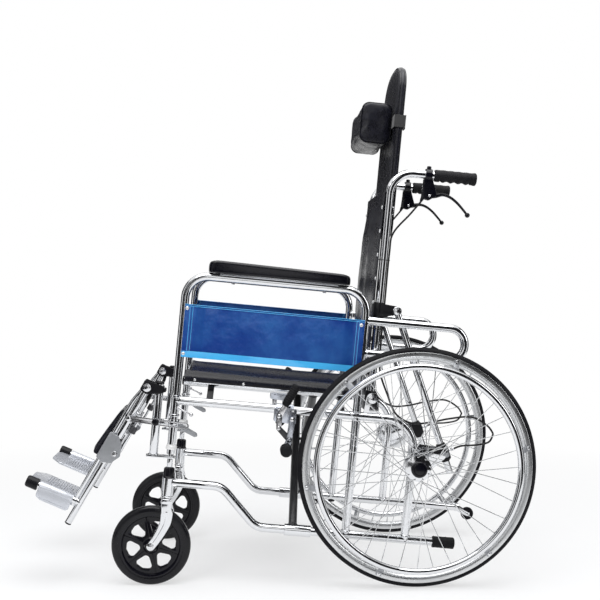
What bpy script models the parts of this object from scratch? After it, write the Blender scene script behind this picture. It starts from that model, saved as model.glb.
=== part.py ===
"""Reclining folding wheelchair, built as separate pieces.

The model is laid out in the chair's own axes: X to the sitter's left, U along the rails
to the rear and W up along the posts. An empty named chair then leans all of it back by
the small angle at which the large wheels and the casters both stand on the floor.
"""
import math

import bmesh
import bpy
from mathutils import Matrix, Vector

# Fits
SEAT_GAP = 0.0003        # between pieces that touch
RUN_GAP = 0.0004         # between pieces that turn or slide on each other

# Tubes
TUBE_R = 0.011           # frame, armrest and cane tube
SIDE_TUBE_R = 0.0107     # tubes welded onto another tube's side
COLLAR = 0.0025          # how far a collar stands out from its tube
BEND_STEP = math.radians(22.5)

# Across the chair
FRAME_X = 0.2375         # middle of each side frame from the chair's centre
SEAT_RAIL_X = FRAME_X - 0.0575
CANE_X = FRAME_X - 0.0495
STRUT_X = FRAME_X - 0.0240
WHEEL_X = FRAME_X + 0.0525
FRONT_POST_Y = -0.31083  # puts the whole chair's middle over the origin

# Side frames
REAR_POST_U = 0.618
MIDDLE_POST_U = 0.464
UPPER_RAIL_W = 0.4735
LOWER_REAR_W = 0.167
DROP_START_U = 0.136     # where the lower rail starts to drop
DROP_ANGLE = math.radians(45)
UPPER_BEND_R = 0.075
DROP_BEND_R = 0.05
LEFT_RAIL_END_U = 0.742
RIGHT_RAIL_END_U = 0.852
FRONT_SOCKET_W = UPPER_RAIL_W + 0.0133
REAR_SOCKET_W = 0.588
SOCKET_DEPTH = 0.060
SPIGOT_R = 0.008
ROLLER_R = 0.019
ROLLER_HALF = 0.0065
ROLLER_SPOT = (RIGHT_RAIL_END_U + 0.0278, LOWER_REAR_W - 0.0161)
ROLLER_PIN_R = 0.0027

# Armrests
ARM_TOP_W = 0.794
ARM_BEND_R = 0.058
LOOP_TOP_W = 0.7195
LOOP_LOW_W = 0.636
LOOP_END_U = MIDDLE_POST_U + 0.2613
PAD_FRONT_U = 0.053
PAD_REAR_U = MIDDLE_POST_U - 0.048
PAD_WIDTH = 0.052
PAD_HEIGHT = 0.030
PANEL_LOW_W = 0.586
PANEL_HIGH_W = 0.716
PANEL_SHEET = 0.0015

# Seat and cross brace
SEAT_RAIL_W = UPPER_RAIL_W + 0.0465
SEAT_RAIL_FRONT_U = 0.0134
SEAT_RAIL_REAR_U = MIDDLE_POST_U - 0.014
BRACE_U = 0.340
BRACE_R = 0.011
BRACE_OFFSET_U = 0.0125  # each member from the plane between them
SLEEVE_WALL = 0.003
SLEEVE_HALF = 0.034
SEAT_SAG = 0.022
SHEET_T = 0.004
FLAP_DROP = 0.014        # how far the seat hangs over the rails' outer side

# Casters
CASTER_R = 0.1016
CASTER_U = -0.0283
CASTER_W = 0.0994
CASTER_HALF = 0.014
CASTER_STEPS = 24
CASTER_AXLE_R = 0.004
STEM_R = 0.008
POST_PIN_R = 0.0075      # thin lower end of the front post
HOUSING_R = 0.015
HOUSING_LOW_W = CASTER_W + CASTER_R + 0.0275
HOUSING_HIGH_W = HOUSING_LOW_W + 0.0465
STEM_LENGTH = 0.035
LOWER_FRONT_W = HOUSING_LOW_W + 0.0345

# Large wheels
WHEEL_R = 0.3048
WHEEL_STEPS = 32
AXLE_U = REAR_POST_U + 0.006
AXLE_W = 0.3642
AXLE_R = 0.006
TYRE_DEPTH = 0.013
RIM_DEPTH = 0.020
RIM_WIDTH = 0.024
SPOKES = 36
SPOKE_R = 0.0011
SPOKE_ASIDE = 0.0014     # keeps crossing spokes apart
SPOKE_LEAD = math.radians(62)
FLANGE_R = 0.033
FLANGE_X = 0.020
FLANGE_T = 0.003
HUB_HALF = 0.028
HUB_BARREL_R = 0.015
HUB_CAP_R = 0.0205
HANDRIM_X = WHEEL_X + 0.035
HANDRIM_R = WHEEL_R - 0.0478
HANDRIM_TUBE_R = 0.0085
HANDRIM_TABS = 6

# Reclining back
CANE_U = MIDDLE_POST_U + 0.037
RECLINE_W = SEAT_RAIL_W
HANDLE_W = 1.1115
HANDLE_END_U = CANE_U + 0.2175
CANE_BEND_R = 0.058
HINGE_BOLT_R = 0.005
LINK_RADIUS = 0.235      # both strut pivots lie this far from the recline pivot
TOP_PIN_ANGLE = math.radians(10.97)
LOCK_ANGLE = math.radians(31.75)
STRUT_R = 0.009
STRUT_TAIL = 0.056
PIN_R = 0.004
LOCK_HALF_LONG = 0.020
LOCK_HALF_WIDE = 0.0145
CABLE_STOP = 0.016
CABLE_R = 0.0025

# Back sheet, head panel and cushion
BACK_LOW_W = RECLINE_W - 0.033
BACK_HIGH_W = 1.040
HEAD_HALF = CANE_X - 0.023
HEAD_LOW_W = 0.940
HEAD_HIGH_W = 1.381
HEAD_FRONT_U = CANE_U - 0.0015
HEAD_T = 0.026
HEAD_LUG_W = 1.010
CUSHION_HALF = HEAD_HALF - 0.035
CUSHION_LOW_W = 1.186
CUSHION_HIGH_W = 1.300
CUSHION_FRONT_U = CANE_U - 0.090
STRAP_T = 0.002
STRAP_HALF = 0.016

# Handles
GRIP_R = 0.0165
GRIP_FRONT_U = HANDLE_END_U - 0.106
GRIP_REAR_U = HANDLE_END_U + 0.005
CLAMP_U = GRIP_FRONT_U - 0.0145
LEVER_PIVOT = (CLAMP_U + 0.0065, HANDLE_W - 0.054)
LEVER_PIN_R = 0.0025

# Parking brakes, all measured from the shoe just ahead of the large wheel
SHOE_U = AXLE_U - WHEEL_R - 0.0293
BRAKE_LEVER_PIVOT = (SHOE_U - 0.0240, UPPER_RAIL_W - 0.0160)
BRAKE_ARM_PIVOT = (SHOE_U + 0.0096, UPPER_RAIL_W - 0.0209)
BRAKE_TOGGLE = (SHOE_U - 0.0224, UPPER_RAIL_W - 0.0460)
BRAKE_LINK_END = (SHOE_U + 0.0063, UPPER_RAIL_W - 0.0718)
SHOE_SPOT = (SHOE_U, UPPER_RAIL_W - 0.0966)
SHOE_R = 0.015
BRAKE_SHEET = 0.003
BRAKE_BOLT_R = 0.003
BRAKE_GRIP_R = 0.0115

# Legrests
HANGER_U = -0.044
HANGER_LOW_W = 0.325
HANGER_PLATE = 0.0055
LEG_PIVOT = (HANGER_U - 0.0301, 0.5003)
LEG_ANGLE = math.radians(25)
LEG_R = 0.011
LEG_OUTER_LENGTH = 0.270
LEG_LENGTH = 0.3986
LEG_INNER_R = 0.0085
RAISE_RADIUS = 0.090     # both ends of the raising bar lie this far from the leg's pivot
RAISE_RANGE = math.radians(60)
RAISE_BAR_X = FRAME_X + 0.0165
RAISE_BAR_T = 0.003
RAISE_BAR_HALF = 0.0075
FOOT_BAR_AT = 0.340
FOOT_BAR_ANGLE = math.radians(18.3)
FOOT_BAR_R = 0.009
FOOT_BAR_LENGTH = 0.118
FOOT_CAP_R = 0.015
FOOT_CAP_LENGTH = 0.028
PLATE_REACH = 0.150
PLATE_START = 0.020
PLATE_END = 0.110
PLATE_T = 0.006
PLATE_RIBS = 8
SKIRT_DEPTH = 0.040
CALF_TOP_AT = 0.080
CALF_LOW_AT = 0.222
CALF_WIDTH = 0.135
CALF_SLEEVE_AT = (0.125, 0.165)

COLOURS = {
    "chrome": ((0.62, 0.63, 0.65), 0.12, 1.0),
    "steel": ((0.55, 0.56, 0.58), 0.35, 1.0),
    "black_plastic": ((0.02, 0.02, 0.022), 0.45, 0.0),
    "rubber": ((0.025, 0.025, 0.027), 0.6, 0.0),
    "vinyl": ((0.018, 0.018, 0.02), 0.4, 0.0),
    "blue_metal": ((0.02, 0.16, 0.48), 0.25, 0.9),
    "grey_plastic": ((0.42, 0.43, 0.46), 0.5, 0.0),
}


# Placing

def flat_radius(radius, steps):
    """Distance from the axle to the middle of a wheel's facet."""
    return radius * math.cos(math.pi / steps)


def floor_lean():
    """Angle at which the wheels and the casters both stand on a facet on the floor."""
    rise = AXLE_W - CASTER_W
    run = AXLE_U - CASTER_U
    drop = flat_radius(WHEEL_R, WHEEL_STEPS) - flat_radius(CASTER_R, CASTER_STEPS)
    return math.acos(drop / math.hypot(rise, run)) - math.atan2(run, rise)


def place_chair():
    lean = floor_lean()
    chair = bpy.data.objects.new("chair", None)
    chair.rotation_euler = (-lean, 0.0, 0.0)
    wheel_height = flat_radius(WHEEL_R, WHEEL_STEPS)
    height = wheel_height + AXLE_U * math.sin(lean) - AXLE_W * math.cos(lean)
    chair.location = (0.0, FRONT_POST_Y, height)
    bpy.context.scene.collection.objects.link(chair)


def clear_scene():
    for item in list(bpy.data.objects):
        bpy.data.objects.remove(item, do_unlink=True)


def material(name):
    found = bpy.data.materials.get(name)
    if found:
        return found
    colour, roughness, metallic = COLOURS[name]
    made = bpy.data.materials.new(name)
    made.use_nodes = True
    shader = made.node_tree.nodes["Principled BSDF"]
    shader.inputs["Base Color"].default_value = (*colour, 1.0)
    shader.inputs["Roughness"].default_value = roughness
    shader.inputs["Metallic"].default_value = metallic
    return made


def node(name, mesh, finish, pivot=(0.0, 0.0, 0.0)):
    """Make the named object, with its origin on its joint's axis."""
    mesh = flat_joins_merged(mesh)
    mesh.name = name
    mesh.transform(Matrix.Translation(-Vector(pivot)))
    mesh.materials.clear()
    mesh.materials.append(material(finish))
    mesh.shade_smooth()
    mesh.set_sharp_from_angle(angle=math.radians(35))
    made = bpy.data.objects.new(name, mesh)
    made.location = pivot
    made.parent = bpy.data.objects["chair"]
    bpy.context.scene.collection.objects.link(made)


def mirrored(mesh):
    copy = mesh.copy()
    copy.transform(Matrix.Scale(-1.0, 4, (1.0, 0.0, 0.0)))
    copy.flip_normals()
    return copy


def pair(name, mesh, finish, pivot=(0.0, 0.0, 0.0)):
    """Make the left piece and its mirror image on the right."""
    node(name + "_left", mesh, finish, pivot)
    node(name + "_right", mirrored(mesh), finish, (-pivot[0], pivot[1], pivot[2]))


# Solids

def closed_mesh(bm):
    bmesh.ops.remove_doubles(bm, verts=bm.verts, dist=1e-6)
    loose = [edge for edge in bm.edges if not edge.link_faces]
    bmesh.ops.delete(bm, geom=loose, context="EDGES")
    bmesh.ops.recalc_face_normals(bm, faces=bm.faces)
    mesh = bpy.data.meshes.new("solid")
    bm.to_mesh(mesh)
    bm.free()
    return mesh


def flat_joins_merged(mesh):
    """Copy of a mesh in which faces that lie in one plane are one face."""
    bm = bmesh.new()
    bm.from_mesh(mesh)
    bmesh.ops.dissolve_limit(bm, angle_limit=math.radians(0.05), verts=bm.verts, edges=bm.edges)
    made = bpy.data.meshes.new("solid")
    bm.to_mesh(made)
    bm.free()
    return made


def loft(rings, ring_closed=False):
    """Skin a row of equal rings; the ends are capped unless the row closes on itself."""
    bm = bmesh.new()
    rows = [[bm.verts.new(spot) for spot in ring] for ring in rings]
    count = len(rows[0])
    spans = list(zip(rows, rows[1:]))
    if ring_closed:
        spans.append((rows[-1], rows[0]))
    for low, high in spans:
        for i in range(count):
            j = (i + 1) % count
            bm.faces.new((low[i], low[j], high[j], high[i]))
    if not ring_closed:
        bm.faces.new(reversed(rows[0]))
        bm.faces.new(rows[-1])
    return closed_mesh(bm)


def evaluated(thing):
    bpy.context.view_layer.update()
    graph = bpy.context.evaluated_depsgraph_get()
    return bpy.data.meshes.new_from_object(thing.evaluated_get(graph))


def tube(path, radius, resolution=3):
    """Round bar along a path; resolution 2, 3 or 4 gives 8, 10 or 12 sides."""
    curve = bpy.data.curves.new("tube", "CURVE")
    curve.dimensions = "3D"
    spline = curve.splines.new("POLY")
    spline.points.add(len(path) - 1)
    for point, spot in zip(spline.points, path):
        point.co = (*spot, 1.0)
    curve.bevel_depth = radius
    curve.bevel_resolution = resolution
    curve.use_fill_caps = True
    guide = bpy.data.objects.new("tube", curve)
    bpy.context.scene.collection.objects.link(guide)
    mesh = evaluated(guide)
    bpy.data.objects.remove(guide, do_unlink=True)
    bm = bmesh.new()
    bm.from_mesh(mesh)
    return closed_mesh(bm)


def bar(start, end, radius, resolution=3):
    return tube([Vector(start), Vector(end)], radius, resolution)


def turned(profile, base, direction, steps=12):
    """Revolve a closed outline of (radius, height) about the axis through base."""
    axis = Vector(direction).normalized()
    turn = axis.to_track_quat("Z", "Y").to_matrix().to_4x4()
    rings = []
    for i in range(steps):
        angle = 2.0 * math.pi * i / steps
        rings.append([Vector((r * math.cos(angle), r * math.sin(angle), h)) for r, h in profile])
    mesh = loft(rings, ring_closed=True)
    mesh.transform(Matrix.Translation(Vector(base)) @ turn)
    return mesh


def disc(radius, low, high, base, direction, steps=12):
    """Round solid from low to high along the axis through base."""
    profile = [(0.0, low), (radius, low), (radius, high), (0.0, high)]
    return turned(profile, base, direction, steps)


def pin_x(radius, x_low, x_high, spot, steps=12):
    """Round pin across the chair at a side-view spot."""
    return disc(radius, x_low, x_high, (0.0, spot[0], spot[1]), (1, 0, 0), steps)


def headed_pin(radius, head_r, x_low, face, head_end, spot, steps=10):
    """Pin across the chair with a flat head beyond the face that it holds."""
    profile = [(0.0, x_low), (radius, x_low), (radius, face), (head_r, face), (head_r, head_end), (0.0, head_end)]
    return turned(profile, at(0.0, spot), (1, 0, 0), steps)


def prism(outline, low, high, axis):
    """Extrude a flat outline; axis 0 takes (u, w), axis 1 takes (x, w), axis 2 takes (x, u)."""
    def spot(a, b, h):
        return ((h, a, b), (a, h, b), (a, b, h))[axis]
    return loft([[Vector(spot(a, b, low)) for a, b in outline],
                 [Vector(spot(a, b, high)) for a, b in outline]])


def plate(outline, x_low, x_high):
    return prism(outline, x_low, x_high, 0)


def box(low, high):
    outline = [(low[0], low[1]), (high[0], low[1]), (high[0], high[1]), (low[0], high[1])]
    return prism(outline, low[2], high[2], 2)


def cleaned(mesh):
    bm = bmesh.new()
    bm.from_mesh(mesh)
    bmesh.ops.remove_doubles(bm, verts=bm.verts, dist=2e-6)
    bmesh.ops.dissolve_degenerate(bm, edges=bm.edges, dist=2e-6)
    made = bpy.data.meshes.new("solid")
    bm.to_mesh(made)
    bm.free()
    return made


def combine(base, tools, operation):
    """Join the tools to the base, or cut them out of it, with exact Booleans one by one."""
    scene = bpy.context.scene.collection.objects
    for tool in tools:
        body = bpy.data.objects.new("body", base)
        helper = bpy.data.objects.new("helper", tool)
        scene.link(body)
        scene.link(helper)
        step = body.modifiers.new("step", "BOOLEAN")
        step.operation = operation
        step.solver = "EXACT"
        step.object = helper
        base = cleaned(evaluated(body))
        bpy.data.objects.remove(body, do_unlink=True)
        bpy.data.objects.remove(helper, do_unlink=True)
    return base


def union(first, *others):
    return combine(first, others, "UNION")


def cut(base, *tools):
    return combine(base, tools, "DIFFERENCE")


def joined(solids):
    """Put solids that don't touch into one mesh."""
    bm = bmesh.new()
    for mesh in solids:
        bm.from_mesh(mesh)
    made = bpy.data.meshes.new("solids")
    bm.to_mesh(made)
    bm.free()
    return made


# Outlines and paths

def rounded_path(corners, radii, step=BEND_STEP):
    """Path through the corners, each inner corner turned with an arc of its radius."""
    corners = [Vector(c) for c in corners]
    path = [corners[0]]
    for before, corner, after, radius in zip(corners, corners[1:], corners[2:], radii):
        into = (corner - before).normalized()
        out = (after - corner).normalized()
        angle = into.angle(out)
        start = corner - into * radius * math.tan(angle / 2.0)
        side = (out - into * into.dot(out)).normalized()
        count = max(2, round(angle / step))
        for i in range(count + 1):
            a = angle * i / count
            path.append(start + into * radius * math.sin(a) + side * radius * (1.0 - math.cos(a)))
    path.append(corners[-1])
    return path


def rounded_outline(corners, radius, steps=2):
    """Closed flat outline with every corner rounded."""
    count = len(corners)
    outline = []
    for i in range(count):
        before, corner, after = (Vector(corners[(i + k) % count]) for k in (-1, 0, 1))
        into = (corner - before).normalized()
        out = (after - corner).normalized()
        angle = into.angle(out)
        start = corner - into * radius * math.tan(angle / 2.0)
        side = (out - into * into.dot(out)).normalized()
        for k in range(steps + 1):
            a = angle * k / steps
            spot = start + into * radius * math.sin(a) + side * radius * (1.0 - math.cos(a))
            outline.append((spot.x, spot.y))
    return outline


def arc(centre, radius, start, end, steps):
    """Points on an arc, with the angles in degrees."""
    spots = []
    for i in range(steps + 1):
        a = math.radians(start + (end - start) * i / steps)
        spots.append((centre[0] + radius * math.cos(a), centre[1] + radius * math.sin(a)))
    return spots


def capsule(start, end, r_start, r_end, steps=4):
    """Outline of a link: a round end about each of two points."""
    run = Vector(end) - Vector(start)
    heading = math.degrees(math.atan2(run.y, run.x))
    return (arc(end, r_end, heading - 90, heading + 90, steps)
            + arc(start, r_start, heading + 90, heading + 270, steps))


def at(x, spot):
    """Point of a side-view spot (u, w) in the plane x."""
    return Vector((x, spot[0], spot[1]))


def shift(spot, du, dw):
    return (spot[0] + du, spot[1] + dw)


def along(spot, heading, distance):
    return (spot[0] + heading[0] * distance, spot[1] + heading[1] * distance)


def smooth_route(spots, bend):
    """Points on a smooth curve through the route's own points, one for each bend angle."""
    spots = [Vector(s) for s in spots]
    ends = [spots[0] * 2 - spots[1], *spots, spots[-1] * 2 - spots[-2]]
    fine = []
    for a, b, c, d in zip(ends, ends[1:], ends[2:], ends[3:]):
        for i in range(12):
            t = i / 12
            curl = (2 * a - 5 * b + 4 * c - d) * t ** 2 + (3 * b - a - 3 * c + d) * t ** 3
            fine.append(0.5 * (2 * b + (c - a) * t + curl))
    fine.append(spots[-1])
    path = [fine[0]]
    heading = fine[1] - fine[0]
    for here, after in zip(fine[1:], fine[2:]):
        if heading.angle(after - here) > bend:
            path.append(here)
            heading = after - here
    path.append(fine[-1])
    return path


# Side frames

def top_pin_spot():
    """Strut's pivot on the cane's ear."""
    return (CANE_U + LINK_RADIUS * math.sin(TOP_PIN_ANGLE),
            RECLINE_W + LINK_RADIUS * math.cos(TOP_PIN_ANGLE))


def lock_spot():
    """Pivot of the lock that the strut slides through."""
    return (CANE_U + LINK_RADIUS * math.cos(LOCK_ANGLE),
            RECLINE_W - LINK_RADIUS * math.sin(LOCK_ANGLE))


def lower_rail(end_u):
    drop = (LOWER_FRONT_W - LOWER_REAR_W) / math.tan(DROP_ANGLE)
    start_u = STEM_R + 0.0025
    corners = [(FRAME_X, start_u, LOWER_FRONT_W), (FRAME_X, DROP_START_U, LOWER_FRONT_W),
               (FRAME_X, DROP_START_U + drop, LOWER_REAR_W), (FRAME_X, end_u, LOWER_REAR_W)]
    return tube(rounded_path(corners, (DROP_BEND_R, DROP_BEND_R)), TUBE_R)


def upper_rail():
    corners = [(FRAME_X, 0.0, UPPER_RAIL_W), (FRAME_X, REAR_POST_U, UPPER_RAIL_W),
               (FRAME_X, REAR_POST_U, LOWER_REAR_W)]
    return tube(rounded_path(corners, (UPPER_BEND_R,)), TUBE_R)


def collar(low, high):
    """Step of the post's outline that makes a raised ring."""
    ease = 0.001
    ring_r = TUBE_R + COLLAR
    return [(TUBE_R, low - ease), (ring_r, low), (ring_r, high), (TUBE_R, high + ease)]


def front_post():
    """Post with two collars; its thin lower end passes the hanger and enters the housing."""
    foot_w = HOUSING_HIGH_W - 0.006
    cap_w = HOUSING_HIGH_W + 0.026
    cap_r = HOUSING_R - 0.0015
    neck_w = HANGER_LOW_W + 0.011
    middle_w = UPPER_RAIL_W - 0.041
    top = FRONT_SOCKET_W
    profile = [(0.0, foot_w), (cap_r, foot_w), (cap_r, cap_w - 0.003), (cap_r - 0.003, cap_w),
               (POST_PIN_R, cap_w), (POST_PIN_R, neck_w), (TUBE_R, neck_w),
               *collar(middle_w, middle_w + 0.005),
               (TUBE_R, top - 0.007), (TUBE_R + COLLAR, top - 0.006), (TUBE_R + COLLAR, top), (0.0, top)]
    return turned(profile, (FRAME_X, 0.0, 0.0), (0, 0, 1))


def caster_housing():
    bore = STEM_R + RUN_GAP
    bore_w = HOUSING_LOW_W + STEM_LENGTH + 0.001
    profile = [(bore, HOUSING_LOW_W), (HOUSING_R, HOUSING_LOW_W), (HOUSING_R, HOUSING_HIGH_W),
               (0.0, HOUSING_HIGH_W + 0.001), (0.0, bore_w), (bore, bore_w)]
    return turned(profile, (FRAME_X, 0.0, 0.0), (0, 0, 1))


def socket_bore(u, top_w):
    return disc(SPIGOT_R + RUN_GAP, -SOCKET_DEPTH, 0.01, (FRAME_X, u, top_w), (0, 0, 1))


def seat_cradle(u):
    """Saddle beside the upper rail that carries the seat rail."""
    half = 0.008
    outline = [(FRAME_X - 0.004, UPPER_RAIL_W - 0.007), (FRAME_X - 0.004, UPPER_RAIL_W + 0.007),
               (SEAT_RAIL_X + 0.013, SEAT_RAIL_W - 0.018), (SEAT_RAIL_X - 0.011, SEAT_RAIL_W - 0.005),
               (SEAT_RAIL_X - 0.014, SEAT_RAIL_W - 0.008), (SEAT_RAIL_X - 0.008, SEAT_RAIL_W - 0.022)]
    saddle = prism(outline, u - half, u + half, 1)
    rail_axis = (SEAT_RAIL_X, 0.0, SEAT_RAIL_W)
    return cut(saddle, disc(TUBE_R + 2 * RUN_GAP, u - 2 * half, u + 2 * half, rail_axis, (0, 1, 0)))


def recline_hinge():
    """Lug on the upper rail with the bolt on which the back cane turns."""
    hinge = (CANE_U, RECLINE_W)
    half = 0.020
    outline = [(CANE_U - half, UPPER_RAIL_W), (CANE_U + half, UPPER_RAIL_W), *arc(hinge, 0.016, 0, 180, 5)]
    lug = plate(outline, FRAME_X - 0.002, FRAME_X + 0.002)
    head_x = CANE_X - TUBE_R - SEAT_GAP
    bolt = pin_x(HINGE_BOLT_R, head_x - 0.003, FRAME_X, hinge)
    head = pin_x(0.009, head_x - 0.004, head_x, hinge)
    spacer = pin_x(0.009, CANE_X + TUBE_R + SEAT_GAP, FRAME_X, hinge)
    return [lug, spacer, bolt, head]


def axle_bracket():
    """Plate on the rear post for the wheel's axle and the strut's lock."""
    lock = lock_spot()
    axle = (AXLE_U, AXLE_W)
    face = STRUT_X + 0.0150
    outline = [(REAR_POST_U - 0.010, AXLE_W + 0.052), (REAR_POST_U - 0.010, AXLE_W - 0.034),
               (AXLE_U + 0.030, AXLE_W - 0.030), *arc(lock, 0.013, -60, 100, 4)]
    sheet = cut(plate(outline, face, face + 0.004), pin_x(PIN_R + RUN_GAP, STRUT_X, FRAME_X, lock, 10))
    boss = pin_x(0.015, face + 0.001, WHEEL_X - HUB_HALF - SEAT_GAP, axle)
    axle_bolt = pin_x(AXLE_R, FRAME_X, WHEEL_X + HUB_HALF + 0.005, axle)
    return [sheet, boss, axle_bolt]


def brake_layer(index):
    """Inner face of the brake's stacked sheets: plate, lever, link, arm."""
    return FRAME_X + 0.0150 + index * (BRAKE_SHEET + SEAT_GAP)


def brake_bolt(spot, x_low, layer_face):
    """Shank and flat head that hold a turning sheet on the plate."""
    face = layer_face + BRAKE_SHEET + SEAT_GAP
    return headed_pin(BRAKE_BOLT_R, BRAKE_BOLT_R + 0.0025, x_low + 0.001, face, face + 0.002, spot, 8)


def parking_brake_mount():
    """Clamp on the upper rail and the outer plate that carries the brake's two bolts."""
    low_u = BRAKE_LEVER_PIVOT[0] - 0.010
    high_u = BRAKE_ARM_PIVOT[0] + 0.008
    clamp = disc(TUBE_R + 0.0035, low_u, high_u - 0.006, (FRAME_X, 0.0, UPPER_RAIL_W), (0, 1, 0))
    low_w = UPPER_RAIL_W - 0.030
    high_w = UPPER_RAIL_W + 0.006
    outline = rounded_outline([(low_u - 0.004, low_w), (high_u + 0.002, low_w - 0.004),
                               (high_u + 0.002, high_w), (low_u - 0.004, high_w)], 0.006)
    face = brake_layer(0)
    sheet = plate(outline, face, face + BRAKE_SHEET)
    web = box((FRAME_X + 0.008, low_u + 0.004, UPPER_RAIL_W - 0.010),
              (face + 0.001, high_u - 0.010, high_w - 0.001))
    return [clamp, web, sheet, brake_bolt(BRAKE_LEVER_PIVOT, face, brake_layer(1)),
            brake_bolt(BRAKE_ARM_PIVOT, face, brake_layer(3))]


def side_frame(end_u):
    middle_post = bar((FRAME_X, MIDDLE_POST_U, LOWER_REAR_W), (FRAME_X, MIDDLE_POST_U, REAR_SOCKET_W), SIDE_TUBE_R)
    front_cradle_u = SEAT_RAIL_FRONT_U + 0.0716
    rear_cradle_u = SEAT_RAIL_REAR_U - 0.025
    welded = union(upper_rail(), lower_rail(end_u), front_post(), caster_housing(), middle_post,
                   seat_cradle(front_cradle_u), seat_cradle(rear_cradle_u), *recline_hinge(),
                   *axle_bracket(), *parking_brake_mount())
    return cut(welded, socket_bore(0.0, FRONT_SOCKET_W), socket_bore(MIDDLE_POST_U, REAR_SOCKET_W))


def roller_fork():
    """Two cheeks and the pin of the small roller behind the right side frame."""
    outline = capsule((RIGHT_RAIL_END_U - 0.010, LOWER_REAR_W), ROLLER_SPOT, 0.009, 0.0065)
    inner = ROLLER_HALF + RUN_GAP
    outer = inner + 0.0025
    cheeks = [plate(outline, FRAME_X - outer, FRAME_X - inner), plate(outline, FRAME_X + inner, FRAME_X + outer)]
    pin = pin_x(ROLLER_PIN_R, FRAME_X - inner - 0.002, FRAME_X + inner + 0.002, ROLLER_SPOT, 8)
    return [*cheeks, pin]


def make_side_frames():
    node("side_frame_left", side_frame(LEFT_RAIL_END_U), "chrome")
    right = union(side_frame(RIGHT_RAIL_END_U), *roller_fork())
    node("side_frame_right", mirrored(right), "chrome")


def make_rail_ends():
    """Rubber tip on the left rail and the small roller on the right one."""
    inner = TUBE_R + 2 * RUN_GAP
    outer = inner + 0.0030
    end = LEFT_RAIL_END_U
    profile = [(inner, end - 0.052), (outer - 0.0006, end - 0.052), (outer, end - 0.020),
               (outer - 0.0006, end + 0.001), (inner, end + 0.005), (0.0, end + 0.005),
               (0.0, end + SEAT_GAP), (inner, end + SEAT_GAP)]
    node("rail_tip_left", turned(profile, (FRAME_X, 0.0, LOWER_REAR_W), (0, 1, 0)), "rubber")
    bore = ROLLER_PIN_R + RUN_GAP
    shoulder = ROLLER_R - 0.0015
    rim = [(bore, -ROLLER_HALF), (shoulder, -ROLLER_HALF), (ROLLER_R, 0.0025 - ROLLER_HALF),
           (ROLLER_R, ROLLER_HALF - 0.0025), (shoulder, ROLLER_HALF), (bore, ROLLER_HALF)]
    spot = at(FRAME_X, ROLLER_SPOT)
    roller = mirrored(turned(rim, spot, (1, 0, 0), 16))
    node("rear_roller_right", roller, "rubber", (-spot.x, spot.y, spot.z))


# Armrests

def armrest_frame():
    """Bent tube with a spigot in each leg and the loop behind the rear leg."""
    rest_gap = 2 * SEAT_GAP
    corners = [(FRAME_X, 0.0, FRONT_SOCKET_W + rest_gap), (FRAME_X, 0.0, ARM_TOP_W),
               (FRAME_X, MIDDLE_POST_U, ARM_TOP_W), (FRAME_X, MIDDLE_POST_U, REAR_SOCKET_W + rest_gap)]
    main = tube(rounded_path(corners, (ARM_BEND_R, ARM_BEND_R)), TUBE_R)
    reach = SOCKET_DEPTH - 0.006
    spigots = [bar((FRAME_X, u, top - reach), (FRAME_X, u, top + 0.02), SPIGOT_R, 2)
               for u, top in ((0.0, FRONT_SOCKET_W), (MIDDLE_POST_U, REAR_SOCKET_W))]
    loop_r = (LOOP_TOP_W - LOOP_LOW_W) / 2.0 - 0.0001
    loop_corners = [(FRAME_X, MIDDLE_POST_U, LOOP_TOP_W), (FRAME_X, LOOP_END_U, LOOP_TOP_W),
                    (FRAME_X, LOOP_END_U, LOOP_LOW_W), (FRAME_X, MIDDLE_POST_U, LOOP_LOW_W)]
    loop = tube(rounded_path(loop_corners, (loop_r, loop_r)), SIDE_TUBE_R)
    return union(main, *spigots, loop)


def pad_ring(u, half, low, high):
    """Rounded cross-section of the arm pad, with a slight crown."""
    chamfer = 0.006
    shoulder = 0.010
    outline = [(-half, low + chamfer), (-half + 0.004, low), (half - 0.004, low), (half, low + chamfer),
               (half, high - shoulder), (half - 0.008, high - 0.002), (0.0, high),
               (0.008 - half, high - 0.002), (-half, high - shoulder)]
    return [Vector((FRAME_X + x, u, w)) for x, w in outline]


def armrest_pad():
    """Pad whose ends narrow and drop like its moulded skin."""
    low = ARM_TOP_W + TUBE_R + SEAT_GAP
    half = PAD_WIDTH / 2.0
    middle = (PAD_REAR_U - PAD_FRONT_U) / 2.0
    nose = ((0.0, 0.70, 0.62), (0.005, 0.86, 0.80), (0.016, 0.97, 0.93), (0.036, 1.0, 0.98), (middle, 1.0, 1.0))
    rings = [pad_ring(PAD_FRONT_U + inset, half * width, low, low + PAD_HEIGHT * rise)
             for inset, width, rise in nose]
    rings += [pad_ring(PAD_REAR_U - inset, half * width, low, low + PAD_HEIGHT * rise)
              for inset, width, rise in reversed(nose[:-1])]
    return loft(rings)


def side_panel():
    """Sheet with its edges folded in towards the tubes."""
    face = FRAME_X + TUBE_R + SEAT_GAP
    front = -0.004
    rear = MIDDLE_POST_U - 0.002
    sheet = plate([(front, PANEL_LOW_W), (rear, PANEL_LOW_W), (rear, PANEL_HIGH_W), (front, PANEL_HIGH_W)],
                  face, face + PANEL_SHEET)
    fold_depth = 0.012
    fold_front = TUBE_R + 0.002
    fold_rear = MIDDLE_POST_U - TUBE_R - 0.002
    outer = face + PANEL_SHEET - 0.0002
    folds = [box((face - fold_depth, fold_front, low), (outer, fold_rear, low + PANEL_SHEET))
             for low in (PANEL_LOW_W, PANEL_HIGH_W - PANEL_SHEET)]
    return union(sheet, *folds)


def make_armrests():
    pair("armrest_frame", armrest_frame(), "chrome")
    pair("armrest_pad", armrest_pad(), "vinyl")
    pair("side_panel", side_panel(), "blue_metal")


# Cross brace and seat

def brace_centre():
    share = FRAME_X / (FRAME_X + SEAT_RAIL_X)
    return Vector((0.0, 0.0, LOWER_REAR_W + (SEAT_RAIL_W - LOWER_REAR_W) * share))


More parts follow.
